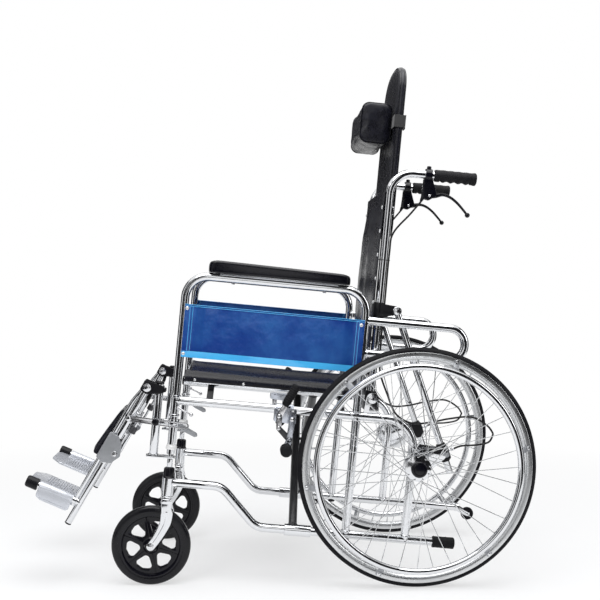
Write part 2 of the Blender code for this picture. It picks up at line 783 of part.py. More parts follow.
def brace(u, with_bolt):
    """Member from the left lower rail to the right seat rail, which is welded to its head."""
    member = bar((FRAME_X, u, LOWER_REAR_W), (-SEAT_RAIL_X, u, SEAT_RAIL_W), BRACE_R)
    foot = (FRAME_X, 0.0, LOWER_REAR_W)
    sleeve_r = TUBE_R + RUN_GAP + SLEEVE_WALL
    sleeve = disc(sleeve_r, BRACE_U - SLEEVE_HALF, BRACE_U + SLEEVE_HALF, foot, (0, 1, 0), 14)
    rail = bar((-SEAT_RAIL_X, SEAT_RAIL_FRONT_U, SEAT_RAIL_W), (-SEAT_RAIL_X, SEAT_RAIL_REAR_U, SEAT_RAIL_W), TUBE_R)
    body = union(member, sleeve, rail)
    bore_half = SLEEVE_HALF + 0.01
    bore = disc(TUBE_R + 2 * RUN_GAP, BRACE_U - bore_half, BRACE_U + bore_half, foot, (0, 1, 0), 14)
    centre = brace_centre()
    reach = BRACE_OFFSET_U + BRACE_R + 0.004
    if with_bolt:
        bolt = disc(PIN_R, BRACE_U - BRACE_OFFSET_U, BRACE_U + reach, centre, (0, 1, 0), 10)
        return cut(union(body, bolt), bore)
    hole = disc(PIN_R + RUN_GAP, BRACE_U - reach, BRACE_U + 2 * reach, centre, (0, 1, 0), 10)
    return cut(body, bore, hole)


def make_braces():
    lower = (FRAME_X, BRACE_U, LOWER_REAR_W)
    centre = brace_centre()
    node("brace_a", brace(BRACE_U - BRACE_OFFSET_U, True), "chrome", lower)
    crossing = mirrored(brace(BRACE_U + BRACE_OFFSET_U, False))
    node("brace_b", crossing, "chrome", (0.0, BRACE_U, centre.z))


def seat_section(u, sag, ripple):
    """Cross-section of the hanging seat: flaps over the rails and a sagging, creased middle."""
    steps = 12
    wrap_r = (TUBE_R + SEAT_GAP) / math.cos(math.pi / 12)
    top = []
    under = []
    for i in range(steps + 1):
        share = -1.0 + 2.0 * i / steps
        hollow = 1.0 - share * share
        drop = sag * hollow + ripple * hollow * math.sin(3.0 * math.pi * share)
        top.append((SEAT_RAIL_X * share, SEAT_RAIL_W + wrap_r + SHEET_T - drop))
        under.append((SEAT_RAIL_X * share, SEAT_RAIL_W + wrap_r - drop))
    over = arc((SEAT_RAIL_X, SEAT_RAIL_W), wrap_r + SHEET_T, 60, 0, 2)
    inside = arc((SEAT_RAIL_X, SEAT_RAIL_W), wrap_r, 0, 60, 2)
    hem_w = SEAT_RAIL_W - FLAP_DROP
    right_half = [*over, (over[-1][0], hem_w), (inside[0][0], hem_w), *inside]
    left_half = [(-x, w) for x, w in reversed(right_half)]
    outline = [*top, *right_half, *reversed(under), *left_half]
    return [Vector((x, u, w)) for x, w in outline]


def seat_sling():
    front = SEAT_RAIL_FRONT_U + 0.001
    length = SEAT_RAIL_REAR_U + 0.003 - front
    stations = ((0.0, 0.62, 0.0), (0.06, 0.78, 0.0006), (0.2, 0.95, 0.0014), (0.5, 1.0, 0.0018),
                (0.78, 0.97, 0.0014), (0.94, 0.86, 0.0006), (1.0, 0.74, 0.0))
    return loft([seat_section(front + length * share, SEAT_SAG * sag, ripple) for share, sag, ripple in stations])


# Reclining back

def back_cane():
    """Tube from the recline hinge to the push handle, with the strut's ear and the head lug."""
    corners = [(CANE_X, CANE_U, RECLINE_W - 0.020), (CANE_X, CANE_U, HANDLE_W), (CANE_X, HANDLE_END_U, HANDLE_W)]
    main = tube(rounded_path(corners, (CANE_BEND_R,)), TUBE_R)
    pin = top_pin_spot()
    ear_outline = [(CANE_U, pin[1] + 0.016), (CANE_U, pin[1] - 0.020), *arc(pin, 0.012, -60, 90, 4)]
    ear = plate(ear_outline, CANE_X + 0.004, STRUT_X - STRUT_R - 2 * RUN_GAP)
    strut_face = STRUT_X + STRUT_R + SEAT_GAP
    bolt = headed_pin(PIN_R, 0.007, CANE_X + 0.006, strut_face, strut_face + 0.0025, pin)
    lug = box((HEAD_HALF + SEAT_GAP, CANE_U - 0.008, HEAD_LUG_W - 0.010),
              (CANE_X, CANE_U + 0.016, HEAD_LUG_W + 0.010))
    hinge_hole = pin_x(HINGE_BOLT_R + RUN_GAP, CANE_X - 2 * TUBE_R, CANE_X + 2 * TUBE_R, (CANE_U, RECLINE_W))
    return cut(union(main, ear, bolt, lug), hinge_hole)


def strut_run():
    """Direction and length from the strut's top pin to its lock."""
    run = Vector(lock_spot()) - Vector(top_pin_spot())
    return run.normalized(), run.length


def recline_strut():
    heading, length = strut_run()
    pin = top_pin_spot()
    main = bar(at(STRUT_X, pin), at(STRUT_X, along(pin, heading, length + STRUT_TAIL)), STRUT_R)
    eye = pin_x(STRUT_R + 0.0025, STRUT_X - STRUT_R, STRUT_X + STRUT_R, pin)
    hole = pin_x(PIN_R + RUN_GAP, STRUT_X - 2 * STRUT_R, STRUT_X + 2 * STRUT_R, pin)
    return cut(union(main, eye), hole)


def recline_lock():
    """Swivelling block through which the strut slides, with its bolt and cable stop."""
    heading, _ = strut_run()
    across = Vector((-heading.y, heading.x))
    spot = Vector(lock_spot())
    corners = [spot + heading * LOCK_HALF_LONG * a + across * LOCK_HALF_WIDE * b
               for a, b in ((-1, -1), (1, -1), (1, 1), (-1, 1))]
    outline = rounded_outline([tuple(c) for c in corners], 0.005)
    block = plate(outline, STRUT_X - 0.0115, STRUT_X + 0.0140)
    stub = pin_x(PIN_R, STRUT_X + 0.012, STRUT_X + 0.0195, spot, 10)
    stop = bar(at(STRUT_X, spot + across * (LOCK_HALF_WIDE - 0.002)),
               at(STRUT_X, spot + across * (LOCK_HALF_WIDE + CABLE_STOP)), 0.004, 2)
    bore = disc(STRUT_R + 2 * RUN_GAP, -0.03, 0.03, at(STRUT_X, spot), (0.0, heading.x, heading.y))
    return cut(union(block, stub, stop), bore)


def grip_ring(u, scale, dip):
    """Round section of the hand grip; its lower side dips between the fingers."""
    sides = 10
    ring = []
    for i in range(sides):
        angle = 2.0 * math.pi * i / sides
        radius = GRIP_R * scale
        if math.sin(angle) < -0.2:
            radius -= dip
        ring.append(Vector((CANE_X + radius * math.cos(angle), u, HANDLE_W + radius * math.sin(angle))))
    return ring


def hand_grip():
    length = GRIP_REAR_U - GRIP_FRONT_U
    fingers = 4
    rings = [grip_ring(GRIP_FRONT_U, 0.86, 0.0), grip_ring(GRIP_FRONT_U + 0.004, 1.0, 0.0)]
    for i in range(fingers * 2 + 1):
        share = 0.14 + 0.72 * i / (fingers * 2)
        rings.append(grip_ring(GRIP_FRONT_U + length * share, 1.0, 0.0035 * (i % 2)))
    rings.append(grip_ring(GRIP_REAR_U - 0.006, 1.06, 0.0))
    rings.append(grip_ring(GRIP_REAR_U, 0.95, 0.0))
    tube_axis = (CANE_X, 0.0, HANDLE_W)
    bore = disc(TUBE_R + 2 * RUN_GAP, GRIP_FRONT_U - 0.01, HANDLE_END_U + SEAT_GAP, tube_axis, (0, 1, 0))
    return cut(loft(rings), bore)


def lever_bracket():
    """Clamp round the handle tube with the slotted body that holds the hand lever."""
    inner = TUBE_R + 2 * RUN_GAP
    half = 0.009
    spot = (CLAMP_U, HANDLE_W)
    tube_axis = (CANE_X, 0.0, HANDLE_W)
    clamp = disc(inner + 0.004, CLAMP_U - half, CLAMP_U + half, tube_axis, (0, 1, 0))
    screw = bar(at(CANE_X, shift(spot, 0.0, 0.012)), at(CANE_X, shift(spot, 0.0, 0.023)), 0.0055, 2)
    corners = ((-0.011, -0.010), (-0.014, -0.062), (0.006, -0.066), (0.026, -0.052), (0.011, -0.010))
    body_half = 0.0087
    body = plate(rounded_outline([shift(spot, du, dw) for du, dw in corners], 0.003),
                 CANE_X - body_half, CANE_X + body_half)
    slot_half = 0.0042
    slot_corners = ((-0.004, -0.080), (0.040, -0.080), (0.040, -0.030), (-0.004, -0.044))
    slot = plate([shift(spot, du, dw) for du, dw in slot_corners], CANE_X - slot_half, CANE_X + slot_half)
    bore = disc(inner, CLAMP_U - 2 * half, CLAMP_U + 2 * half, tube_axis, (0, 1, 0))
    pin = pin_x(LEVER_PIN_R, CANE_X - 0.007, CANE_X + 0.007, LEVER_PIVOT, 8)
    return union(cut(union(clamp, screw, body), bore, slot), pin)


def lever_section(spot, heading, width, depth):
    """Oval section of the hand lever, across its heading."""
    sides = 6
    normal = (-heading[1], heading[0])
    ring = []
    for i in range(sides):
        angle = 2.0 * math.pi * i / sides
        u, w = along(spot, normal, depth * math.sin(angle))
        ring.append(Vector((CANE_X + width * math.cos(angle), u, w)))
    return ring


def hand_lever():
    """Curved lever that thins towards the ball at its end."""
    course = ((0.0, 0.0, 0.0036, 0.0070), (0.0175, 0.0025, 0.0036, 0.0062), (0.0355, 0.0065, 0.0042, 0.0043),
              (0.0555, 0.0015, 0.0050, 0.0037), (0.0755, -0.0115, 0.0050, 0.0034),
              (0.0925, -0.0275, 0.0042, 0.0032), (0.1050, -0.0405, 0.0034, 0.0030))
    spots = [shift(LEVER_PIVOT, du, dw) for du, dw, _, _ in course]
    rings = []
    for i, (_, _, width, depth) in enumerate(course):
        ahead = Vector(spots[min(i + 1, len(spots) - 1)]) - Vector(spots[max(i - 1, 0)])
        rings.append(lever_section(spots[i], ahead.normalized(), width, depth))
    ball_r = 0.0068
    profile = [(ball_r * math.sin(math.radians(a)), -ball_r * math.cos(math.radians(a)))
               for a in range(0, 181, 45)]
    ball = turned(profile, at(CANE_X, spots[-1]), (1, 0, 0), 8)
    hub = pin_x(0.0075, CANE_X - 0.0036, CANE_X + 0.0036, LEVER_PIVOT, 8)
    hole = pin_x(LEVER_PIN_R + RUN_GAP, CANE_X - 0.01, CANE_X + 0.01, LEVER_PIVOT, 8)
    return cut(union(loft(rings), hub, ball), hole)


def recline_cable():
    """Cable from the lever bracket, down behind the cane and round to the strut's lock."""
    heading, _ = strut_run()
    across = Vector((-heading.y, heading.x))
    lock = Vector(lock_spot())
    stop = lock + across * (LOCK_HALF_WIDE + CABLE_STOP + SEAT_GAP)
    hinge = (CANE_U, RECLINE_W)
    behind = TUBE_R + CABLE_R + 0.0006
    upper = [(CLAMP_U - 0.0125, HANDLE_W - 0.0695), (CANE_U + 0.059, 1.006), (CANE_U + behind + 0.005, 0.952),
             (CANE_U + behind, 0.900), (CANE_U + behind, 0.780), (CANE_U + behind, 0.660),
             shift(hinge, 0.019, 0.070), shift(hinge, 0.0444, 0.010), shift(hinge, 0.071, -0.038),
             shift(hinge, 0.1138, -0.0585), shift(hinge, 0.1606, -0.0531)]
    route = [at(CANE_X, spot) for spot in upper]
    lower = ((0.012, 0.0855, 0.002), (0.0693, 0.0957, 0.008), (0.1106, 0.0783, 0.016), (0.1277, 0.0588, 0.021),
             (0.1171, 0.0369, 0.0255), (0.0842, 0.0262, 0.0255))
    route += [at(CANE_X + out, shift(lock, du, dw)) for du, dw, out in lower]
    route += [at(STRUT_X, stop + across * 0.022), at(STRUT_X, stop)]
    return tube(smooth_route(route, math.radians(14)), CABLE_R, 2)


def back_section(w, hollow, ripple):
    """Cross-section of the back sheet: hollow between the canes, with soft upright folds."""
    half = CANE_X + 0.006
    face = CANE_U - TUBE_R - SEAT_GAP
    steps = 12
    front = []
    rear = []
    for i in range(steps + 1):
        share = -1.0 + 2.0 * i / steps
        bulge = 1.0 - share * share
        depth = hollow * bulge - ripple * bulge * (1.0 + math.cos(4.0 * math.pi * share))
        front.append((half * share, face - SHEET_T + depth))
        rear.append((half * share, face + depth))
    return [Vector((x, u, w)) for x, u in (*front, *reversed(rear))]


def back_sling():
    stations = ((0.0, 0.0016, 0.0), (0.08, 0.005, 0.0004), (0.25, 0.0075, 0.0014), (0.5, 0.0085, 0.0018),
                (0.75, 0.0075, 0.0014), (0.92, 0.005, 0.0005), (1.0, 0.0036, 0.0))
    height = BACK_HIGH_W - BACK_LOW_W
    return loft([back_section(BACK_LOW_W + height * share, hollow, ripple) for share, hollow, ripple in stations])


def head_panel():
    """Padded board with rounded corners and a drawn-in edge."""
    outline = rounded_outline([(-HEAD_HALF, HEAD_LOW_W), (HEAD_HALF, HEAD_LOW_W),
                               (HEAD_HALF, HEAD_HIGH_W), (-HEAD_HALF, HEAD_HIGH_W)], 0.022, 3)
    middle = (HEAD_LOW_W + HEAD_HIGH_W) / 2.0
    rear = HEAD_FRONT_U + HEAD_T
    levels = ((HEAD_FRONT_U, 0.90), (HEAD_FRONT_U + 0.003, 0.97), (HEAD_FRONT_U + 0.009, 1.0),
              (rear - 0.009, 1.0), (rear - 0.003, 0.97), (rear, 0.90))
    rings = []
    for u, scale in levels:
        rise = 0.3 * scale + 0.7
        rings.append([Vector((x * scale, u, middle + (w - middle) * rise)) for x, w in outline])
    return loft(rings)


def cushion_ring(share, scale):
    """Front outline of the headrest cushion at one depth."""
    half = CUSHION_HALF * scale
    middle = (CUSHION_LOW_W + CUSHION_HIGH_W) / 2.0
    rise = (CUSHION_HIGH_W - CUSHION_LOW_W) / 2.0 * (0.5 * scale + 0.5)
    corners = [(-half, middle - rise), (half, middle - rise), (half, middle + rise), (-half, middle + rise)]
    rear = HEAD_FRONT_U - SEAT_GAP
    u = rear + (CUSHION_FRONT_U - rear) * share
    return [Vector((x, u, w)) for x, w in rounded_outline(corners, 0.018 * scale)]


def headrest_cushion():
    """Crowned cushion with drawn-in sides, held by a strap round the head panel."""
    levels = ((0.0, 0.93), (0.10, 0.99), (0.45, 0.97), (0.80, 1.0), (0.92, 0.95), (0.98, 0.85), (1.0, 0.66))
    block = loft([cushion_ring(share, scale) for share, scale in levels])
    inner = HEAD_HALF + SEAT_GAP
    outer = inner + STRAP_T
    front = HEAD_FRONT_U - SEAT_GAP
    rear = HEAD_FRONT_U + HEAD_T + SEAT_GAP
    middle = (CUSHION_LOW_W + CUSHION_HIGH_W) / 2.0 + 0.005
    low = middle - STRAP_HALF
    high = middle + STRAP_HALF
    strap = cut(box((-outer, front - STRAP_T, low), (outer, rear + STRAP_T, high)),
                box((-inner, front, low - 0.01), (inner, rear, high + 0.01)))
    return union(block, strap)


def make_back():
    hinge = (CANE_X, CANE_U, RECLINE_W)
    pair("back_cane", back_cane(), "chrome", hinge)
    pair("recline_strut", recline_strut(), "chrome", tuple(at(STRUT_X, top_pin_spot())))
    pair("recline_lock", recline_lock(), "black_plastic", tuple(at(STRUT_X, lock_spot())))
    pair("hand_grip", hand_grip(), "rubber", hinge)
    pair("lever_bracket", lever_bracket(), "black_plastic", hinge)
    pair("hand_lever", hand_lever(), "black_plastic", tuple(at(CANE_X, LEVER_PIVOT)))
    pair("recline_cable", recline_cable(), "rubber", hinge)
    node("back_sling", back_sling(), "vinyl", hinge)
    node("head_panel", head_panel(), "vinyl", hinge)
    node("headrest_cushion", headrest_cushion(), "vinyl", hinge)


# Large wheels

def wheel_spot():
    return (WHEEL_X, AXLE_U, AXLE_W)


def rim_inner():
    return WHEEL_R - TYRE_DEPTH - RIM_DEPTH


def rim_ring():
    outer = WHEEL_R - TYRE_DEPTH
    shoulder = rim_inner() + 0.007
    half = RIM_WIDTH / 2.0
    profile = [(rim_inner(), -half * 0.4), (shoulder, -half), (outer, -half), (outer, half), (shoulder, half),
               (rim_inner(), half * 0.4)]
    return turned(profile, wheel_spot(), (1, 0, 0), WHEEL_STEPS)


def hub():
    inner_face = FLANGE_X - FLANGE_T / 2.0
    outer_face = FLANGE_X + FLANGE_T / 2.0
    half = [(HUB_BARREL_R, inner_face - 0.002), (FLANGE_R, inner_face), (FLANGE_R, outer_face),
            (HUB_BARREL_R, outer_face + 0.001), (HUB_BARREL_R - 0.002, HUB_HALF), (AXLE_R + RUN_GAP, HUB_HALF)]
    profile = [(r, -x) for r, x in reversed(half)] + half
    return turned(profile, wheel_spot(), (1, 0, 0))


def spoke(index):
    """One wire, leading or trailing, from a hub flange to the rim's middle."""
    side = 1.0 if index % 2 else -1.0
    lead = 1.0 if (index // 2) % 2 else -1.0
    rim_angle = 2.0 * math.pi * (index + 0.5) / SPOKES
    hub_angle = rim_angle + lead * SPOKE_LEAD
    hub_r = FLANGE_R - 0.0035
    rim_r = rim_inner() + 0.004
    hub_x = side * FLANGE_X + lead * SPOKE_ASIDE
    rim_x = side * 0.002 + lead * SPOKE_ASIDE
    centre = Vector(wheel_spot())
    start = centre + Vector((hub_x, hub_r * math.cos(hub_angle), hub_r * math.sin(hub_angle)))
    end = centre + Vector((rim_x, rim_r * math.cos(rim_angle), rim_r * math.sin(rim_angle)))
    turn = (end - start).to_track_quat("Z", "X")
    corners = [turn @ Vector((x, y, 0.0)) for x, y in arc((0.0, 0.0), SPOKE_R, 0, 240, 2)]
    return loft([[spot + corner for corner in corners] for spot in (start, end)])


def wheel():
    return union(rim_ring(), hub(), *[spoke(i) for i in range(SPOKES)])


def tyre():
    inner = WHEEL_R - TYRE_DEPTH + SEAT_GAP
    half = RIM_WIDTH / 2.0 - 0.001
    shoulder = WHEEL_R - 0.005
    tread = half * 0.4
    profile = [(inner, -half), (inner, half), (shoulder, half), (WHEEL_R, tread), (WHEEL_R, -tread),
               (shoulder, -half)]
    return turned(profile, wheel_spot(), (1, 0, 0), WHEEL_STEPS)


def handrim_tab(index):
    """Bent strap from the handrim's inner side to the rim's face."""
    angle = 2.0 * math.pi * (index + 0.25) / HANDRIM_TABS
    outward = Vector((0.0, math.cos(angle), math.sin(angle)))
    aside = Vector((0.0, -math.sin(angle), math.cos(angle)))
    centre = Vector((0.0, AXLE_U, AXLE_W))
    face = WHEEL_X + RIM_WIDTH / 2.0 + SEAT_GAP
    foot_r = rim_inner() + 0.013
    half = 0.007
    outline = [(HANDRIM_X - 0.004, HANDRIM_R + 0.003), (HANDRIM_X + 0.002, HANDRIM_R + 0.003),
               (face + 0.0035, foot_r + 0.005), (face, foot_r + 0.005), (face, foot_r - 0.007)]
    return loft([[centre + Vector((x, 0.0, 0.0)) + outward * r + aside * s for x, r in outline]
                 for s in (-half, half)])


def handrim():
    profile = arc((HANDRIM_R, 0.0), HANDRIM_TUBE_R, 0, 300, 5)
    ring = turned(profile, (HANDRIM_X, AXLE_U, AXLE_W), (1, 0, 0), WHEEL_STEPS)
    return union(ring, *[handrim_tab(i) for i in range(HANDRIM_TABS)])


def hub_cap():
    """Domed cap over the axle's end."""
    low = HUB_HALF + SEAT_GAP
    recess = low + 0.007
    inner = AXLE_R + 0.0012
    profile = [(inner, low), (HUB_CAP_R - 0.002, low), (HUB_CAP_R, low + 0.002), (HUB_CAP_R, low + 0.011),
               (HUB_CAP_R - 0.003, low + 0.0145), (0.0, low + 0.016), (0.0, recess), (inner, recess)]
    return turned(profile, wheel_spot(), (1, 0, 0))


def facet_down(mesh, spot, steps):
    """Turn a wheel about its axle until one of its facets lies on the floor."""
    middle = Vector(spot)
    turn = Matrix.Rotation(floor_lean() - math.pi / steps, 4, "X")
    mesh = mesh.copy()
    mesh.transform(Matrix.Translation(middle) @ turn @ Matrix.Translation(-middle))
    return mesh


def make_wheels():
    spot = wheel_spot()
    pair("wheel", facet_down(wheel(), spot, WHEEL_STEPS), "chrome", spot)
    pair("tyre", facet_down(tyre(), spot, WHEEL_STEPS), "rubber", spot)
    pair("handrim", facet_down(handrim(), spot, WHEEL_STEPS), "chrome", spot)
    pair("hub_cap", hub_cap(), "black_plastic", spot)


# Casters

def caster_spot():
    return (CASTER_U, CASTER_W)


def fork_leg(side):
    """Flat leg that bows from the crown forward to the caster's axle."""
    low = CASTER_HALF + 0.0045
    high = low + 0.004
    top = (0.0, HOUSING_LOW_W - 0.006)
    knee = (0.004, CASTER_W + 0.0686)
    foot = caster_spot()
    outline = [shift(top, -0.0125, 0.0), shift(knee, -0.0135, 0.006), shift(knee, -0.0155, -0.014),
               shift(foot, -0.010, 0.008), *arc(foot, 0.0105, 160, 330, 4), shift(foot, 0.016, 0.018),
               shift(knee, 0.0115, -0.018), shift(knee, 0.0125, 0.004), shift(top, 0.0125, 0.0)]
    faces = sorted((FRAME_X + side * low, FRAME_X + side * high))
    return plate(outline, *faces)


def caster_fork():
    crown_low = CASTER_W + CASTER_R + 0.008
    crown_high = HOUSING_LOW_W - RUN_GAP
    half = CASTER_HALF + 0.0095
    depth = 0.0125
    outline = rounded_outline([(FRAME_X - half, -depth), (FRAME_X + half, -depth),
                               (FRAME_X + half, depth), (FRAME_X - half, depth)], 0.006)
    post = (FRAME_X, 0.0, 0.0)
    crown = prism(outline, crown_low, crown_high - 0.004, 2)
    race = disc(HOUSING_R - 0.001, crown_high - 0.006, crown_high, post, (0, 0, 1))
    stem = disc(STEM_R, crown_high - 0.004, HOUSING_LOW_W + STEM_LENGTH, post, (0, 0, 1))
    axle = pin_x(CASTER_AXLE_R, FRAME_X - half, FRAME_X + half, caster_spot(), 10)
    nut_in = half - 0.0035
    nut_out = half + 0.002
    nuts = [pin_x(0.007, low, high, caster_spot(), 6)
            for low, high in ((FRAME_X - nut_out, FRAME_X - nut_in), (FRAME_X + nut_in, FRAME_X + nut_out))]
    return union(crown, race, stem, fork_leg(1.0), fork_leg(-1.0), axle, *nuts)


def caster_window(index):
    """Rounded three-cornered opening between two spokes."""
    middle = math.radians(60.0 * index)
    spread = math.radians(23)
    inner_r = CASTER_R - 0.0706
    outer_r = CASTER_R - 0.0311
    corners = [(inner_r * math.cos(middle), inner_r * math.sin(middle))]
    for angle in (middle - spread, middle, middle + spread):
        corners.append((outer_r * math.cos(angle), outer_r * math.sin(angle)))
    outline = [shift(caster_spot(), du, dw) for du, dw in rounded_outline(corners, 0.004, 1)]
    return plate(outline, FRAME_X - 0.03, FRAME_X + 0.03)


def caster_wheel():
    """Wheel body with its tyre in one outline, pierced by six openings."""
    web = 0.0045
    edge = 0.006
    tyre_r = CASTER_R - 0.0216
    hub_face = [(CASTER_AXLE_R + RUN_GAP, CASTER_HALF + 0.004), (0.015, CASTER_HALF + 0.004), (0.024, web)]
    rim_face = [(tyre_r - 0.006, web), (tyre_r, CASTER_HALF), (CASTER_R - edge, CASTER_HALF),
                (CASTER_R, CASTER_HALF - edge)]
    half = hub_face + rim_face
    profile = half + [(r, -x) for r, x in reversed(half)]
    body = turned(profile, at(FRAME_X, caster_spot()), (1, 0, 0), CASTER_STEPS)
    return cut(body, joined([caster_window(i) for i in range(6)]))


def make_casters():
    pair("caster_fork", caster_fork(), "chrome", (FRAME_X, 0.0, HOUSING_LOW_W))
    spot = tuple(at(FRAME_X, caster_spot()))
    pair("caster_wheel", facet_down(caster_wheel(), spot, CASTER_STEPS), "black_plastic", spot)


# Parking brakes

def brake_lever():
    """Sheet lever with a plastic grip above its bolt and the toggle rivet below it."""
    x = brake_layer(1)
    middle_x = x + BRAKE_SHEET / 2.0
    grip_low = shift(BRAKE_LEVER_PIVOT, 0.0123, 0.0293)
    grip_high = shift(BRAKE_LEVER_PIVOT, 0.0381, 0.0829)
    arm = plate(capsule(BRAKE_LEVER_PIVOT, shift(grip_low, 0.005, 0.011), 0.008, 0.006), x, x + BRAKE_SHEET)
    toe = plate(capsule(BRAKE_TOGGLE, BRAKE_LEVER_PIVOT, 0.0065, 0.008), x, x + BRAKE_SHEET)
    grip = bar(at(middle_x, grip_low), at(middle_x, grip_high), BRAKE_GRIP_R)
    rivet = brake_bolt(BRAKE_TOGGLE, x, brake_layer(2))
    hole = pin_x(BRAKE_BOLT_R + RUN_GAP, x - 0.02, x + 0.02, BRAKE_LEVER_PIVOT, 10)
    return cut(union(arm, toe, grip, rivet), hole)


def brake_link():
    """Link from the lever's toe to the shoe arm; its far hole is wide, so it never binds."""
    x = brake_layer(2)
    body = plate(capsule(BRAKE_TOGGLE, BRAKE_LINK_END, 0.0065, 0.0080), x, x + BRAKE_SHEET)
    near = pin_x(BRAKE_BOLT_R + RUN_GAP, x - 0.01, x + 0.01, BRAKE_TOGGLE, 10)
    far = pin_x(BRAKE_BOLT_R + 0.0024, x - 0.01, x + 0.01, BRAKE_LINK_END, 10)
    return cut(body, near, far)


def brake_arm():
    """Arm with the shoe that presses on the tyre."""
    x = brake_layer(3)
    upper = plate(capsule(BRAKE_ARM_PIVOT, BRAKE_LINK_END, 0.008, 0.0075), x, x + BRAKE_SHEET)
    lower = plate(capsule(BRAKE_LINK_END, SHOE_SPOT, 0.0075, 0.009), x, x + BRAKE_SHEET)
    shoe_end = WHEEL_X + RIM_WIDTH / 2.0
    rim_r = SHOE_R - 0.0025
    shoe = turned([(0.0, x), (rim_r, x), (SHOE_R, x + 0.002), (SHOE_R, shoe_end), (rim_r, shoe_end + 0.002),
                   (0.0, shoe_end + 0.002)], at(0.0, SHOE_SPOT), (1, 0, 0), 14)
    peg = pin_x(BRAKE_BOLT_R, brake_layer(2) + 0.0005, x + 0.001, BRAKE_LINK_END, 8)
    hole = pin_x(BRAKE_BOLT_R + RUN_GAP, x - 0.01, x + 0.01, BRAKE_ARM_PIVOT, 10)
    return cut(union(upper, lower, shoe, peg), hole)


def make_parking_brakes():
    pair("parking_brake_lever", brake_lever(), "steel", tuple(at(FRAME_X, BRAKE_LEVER_PIVOT)))
    pair("parking_brake_link", brake_link(), "steel", tuple(at(FRAME_X, BRAKE_TOGGLE)))
    pair("parking_brake_arm", brake_arm(), "steel", tuple(at(FRAME_X, BRAKE_ARM_PIVOT)))


# Legrests

def leg_heading():
    return Vector((-math.sin(LEG_ANGLE), -math.cos(LEG_ANGLE)))


def leg_front():
    """Direction square to the leg, towards the calf."""
    return Vector((-math.cos(LEG_ANGLE), math.sin(LEG_ANGLE)))


def leg_spot(distance, out=0.0):
    """Side-view spot at a distance down the leg and out towards the calf."""
    return along(along(LEG_PIVOT, leg_heading(), distance), leg_front(), out)


def leg_disc(radius, low, high, steps=12, out=0.0):
    """Round solid along the leg."""
    heading = leg_heading()
    return disc(radius, low, high, at(FRAME_X, leg_spot(0.0, out)), (0.0, heading.x, heading.y), steps)


def raise_bolt_spot():
    """Bolt on the hanger that the raising bar slides over."""
    drop = math.sqrt(RAISE_RADIUS ** 2 - (HANGER_U - LEG_PIVOT[0]) ** 2)
    return (HANGER_U, LEG_PIVOT[1] - drop)


def pivot_bracket():
    """Two cheeks, the block between them and the bolt of the leg's pivot."""
    block_end = HANGER_U + 0.006
    outline = rounded_outline([shift(LEG_PIVOT, -0.0041, 0.0190), shift(LEG_PIVOT, -0.0167, -0.0063),
                               shift(LEG_PIVOT, 0.0043, -0.0141), (block_end, LEG_PIVOT[1] - 0.0118),
                               (block_end, LEG_PIVOT[1] + 0.0057)], 0.003)
    inner = LEG_R + 2 * RUN_GAP
    outer = inner + 0.004
    cheeks = [plate(outline, FRAME_X - outer, FRAME_X - inner), plate(outline, FRAME_X + inner, FRAME_X + outer)]
    block = box((FRAME_X - inner - 0.003, HANGER_U - 0.006, LEG_PIVOT[1] - 0.0108),
                (FRAME_X + inner + 0.003, block_end - 0.001, LEG_PIVOT[1] + 0.0047))
    bolt = headed_pin(PIN_R, 0.0065, FRAME_X - outer + 0.0005, FRAME_X + outer - 0.0005,
                      FRAME_X + outer + 0.0025, LEG_PIVOT)
    return [*cheeks, block, bolt]


def legrest_hanger():
    """Upright that swings on the front post, with the pivot bracket at its top."""
    upright = bar((FRAME_X, HANGER_U, HANGER_LOW_W), (FRAME_X, HANGER_U, 0.512), TUBE_R)
    post = (FRAME_X, 0.0, 0.0)
    half = 0.0125
    foot_corners = [(FRAME_X - half, HANGER_U - 0.018), (FRAME_X + half, HANGER_U - 0.018),
                    (FRAME_X + half, half), (FRAME_X - half, half)]
    foot = prism(rounded_outline(foot_corners, 0.006), HANGER_LOW_W, HANGER_LOW_W + HANGER_PLATE, 2)
    foot_hole = disc(POST_PIN_R + RUN_GAP, HANGER_LOW_W - 0.01, HANGER_LOW_W + 0.01, post, (0, 0, 1))
    sleeve_low = UPPER_RAIL_W - 0.0685
    sleeve_high = UPPER_RAIL_W - 0.0485
    sleeve = disc(TUBE_R + 0.0035, sleeve_low, sleeve_high, post, (0, 0, 1))
    sleeve_hole = disc(TUBE_R + RUN_GAP, sleeve_low - 0.01, sleeve_high + 0.01, post, (0, 0, 1))
    web = box((FRAME_X - 0.006, HANGER_U, sleeve_low + 0.002), (FRAME_X + 0.006, -TUBE_R, sleeve_high - 0.002))
    lower = cut(union(foot, sleeve, web), foot_hole, sleeve_hole)
    face = RAISE_BAR_X + RAISE_BAR_T + SEAT_GAP
    raise_bolt = headed_pin(PIN_R, 0.0085, FRAME_X, face, face + 0.006, raise_bolt_spot())
    return union(upright, lower, *pivot_bracket(), raise_bolt)


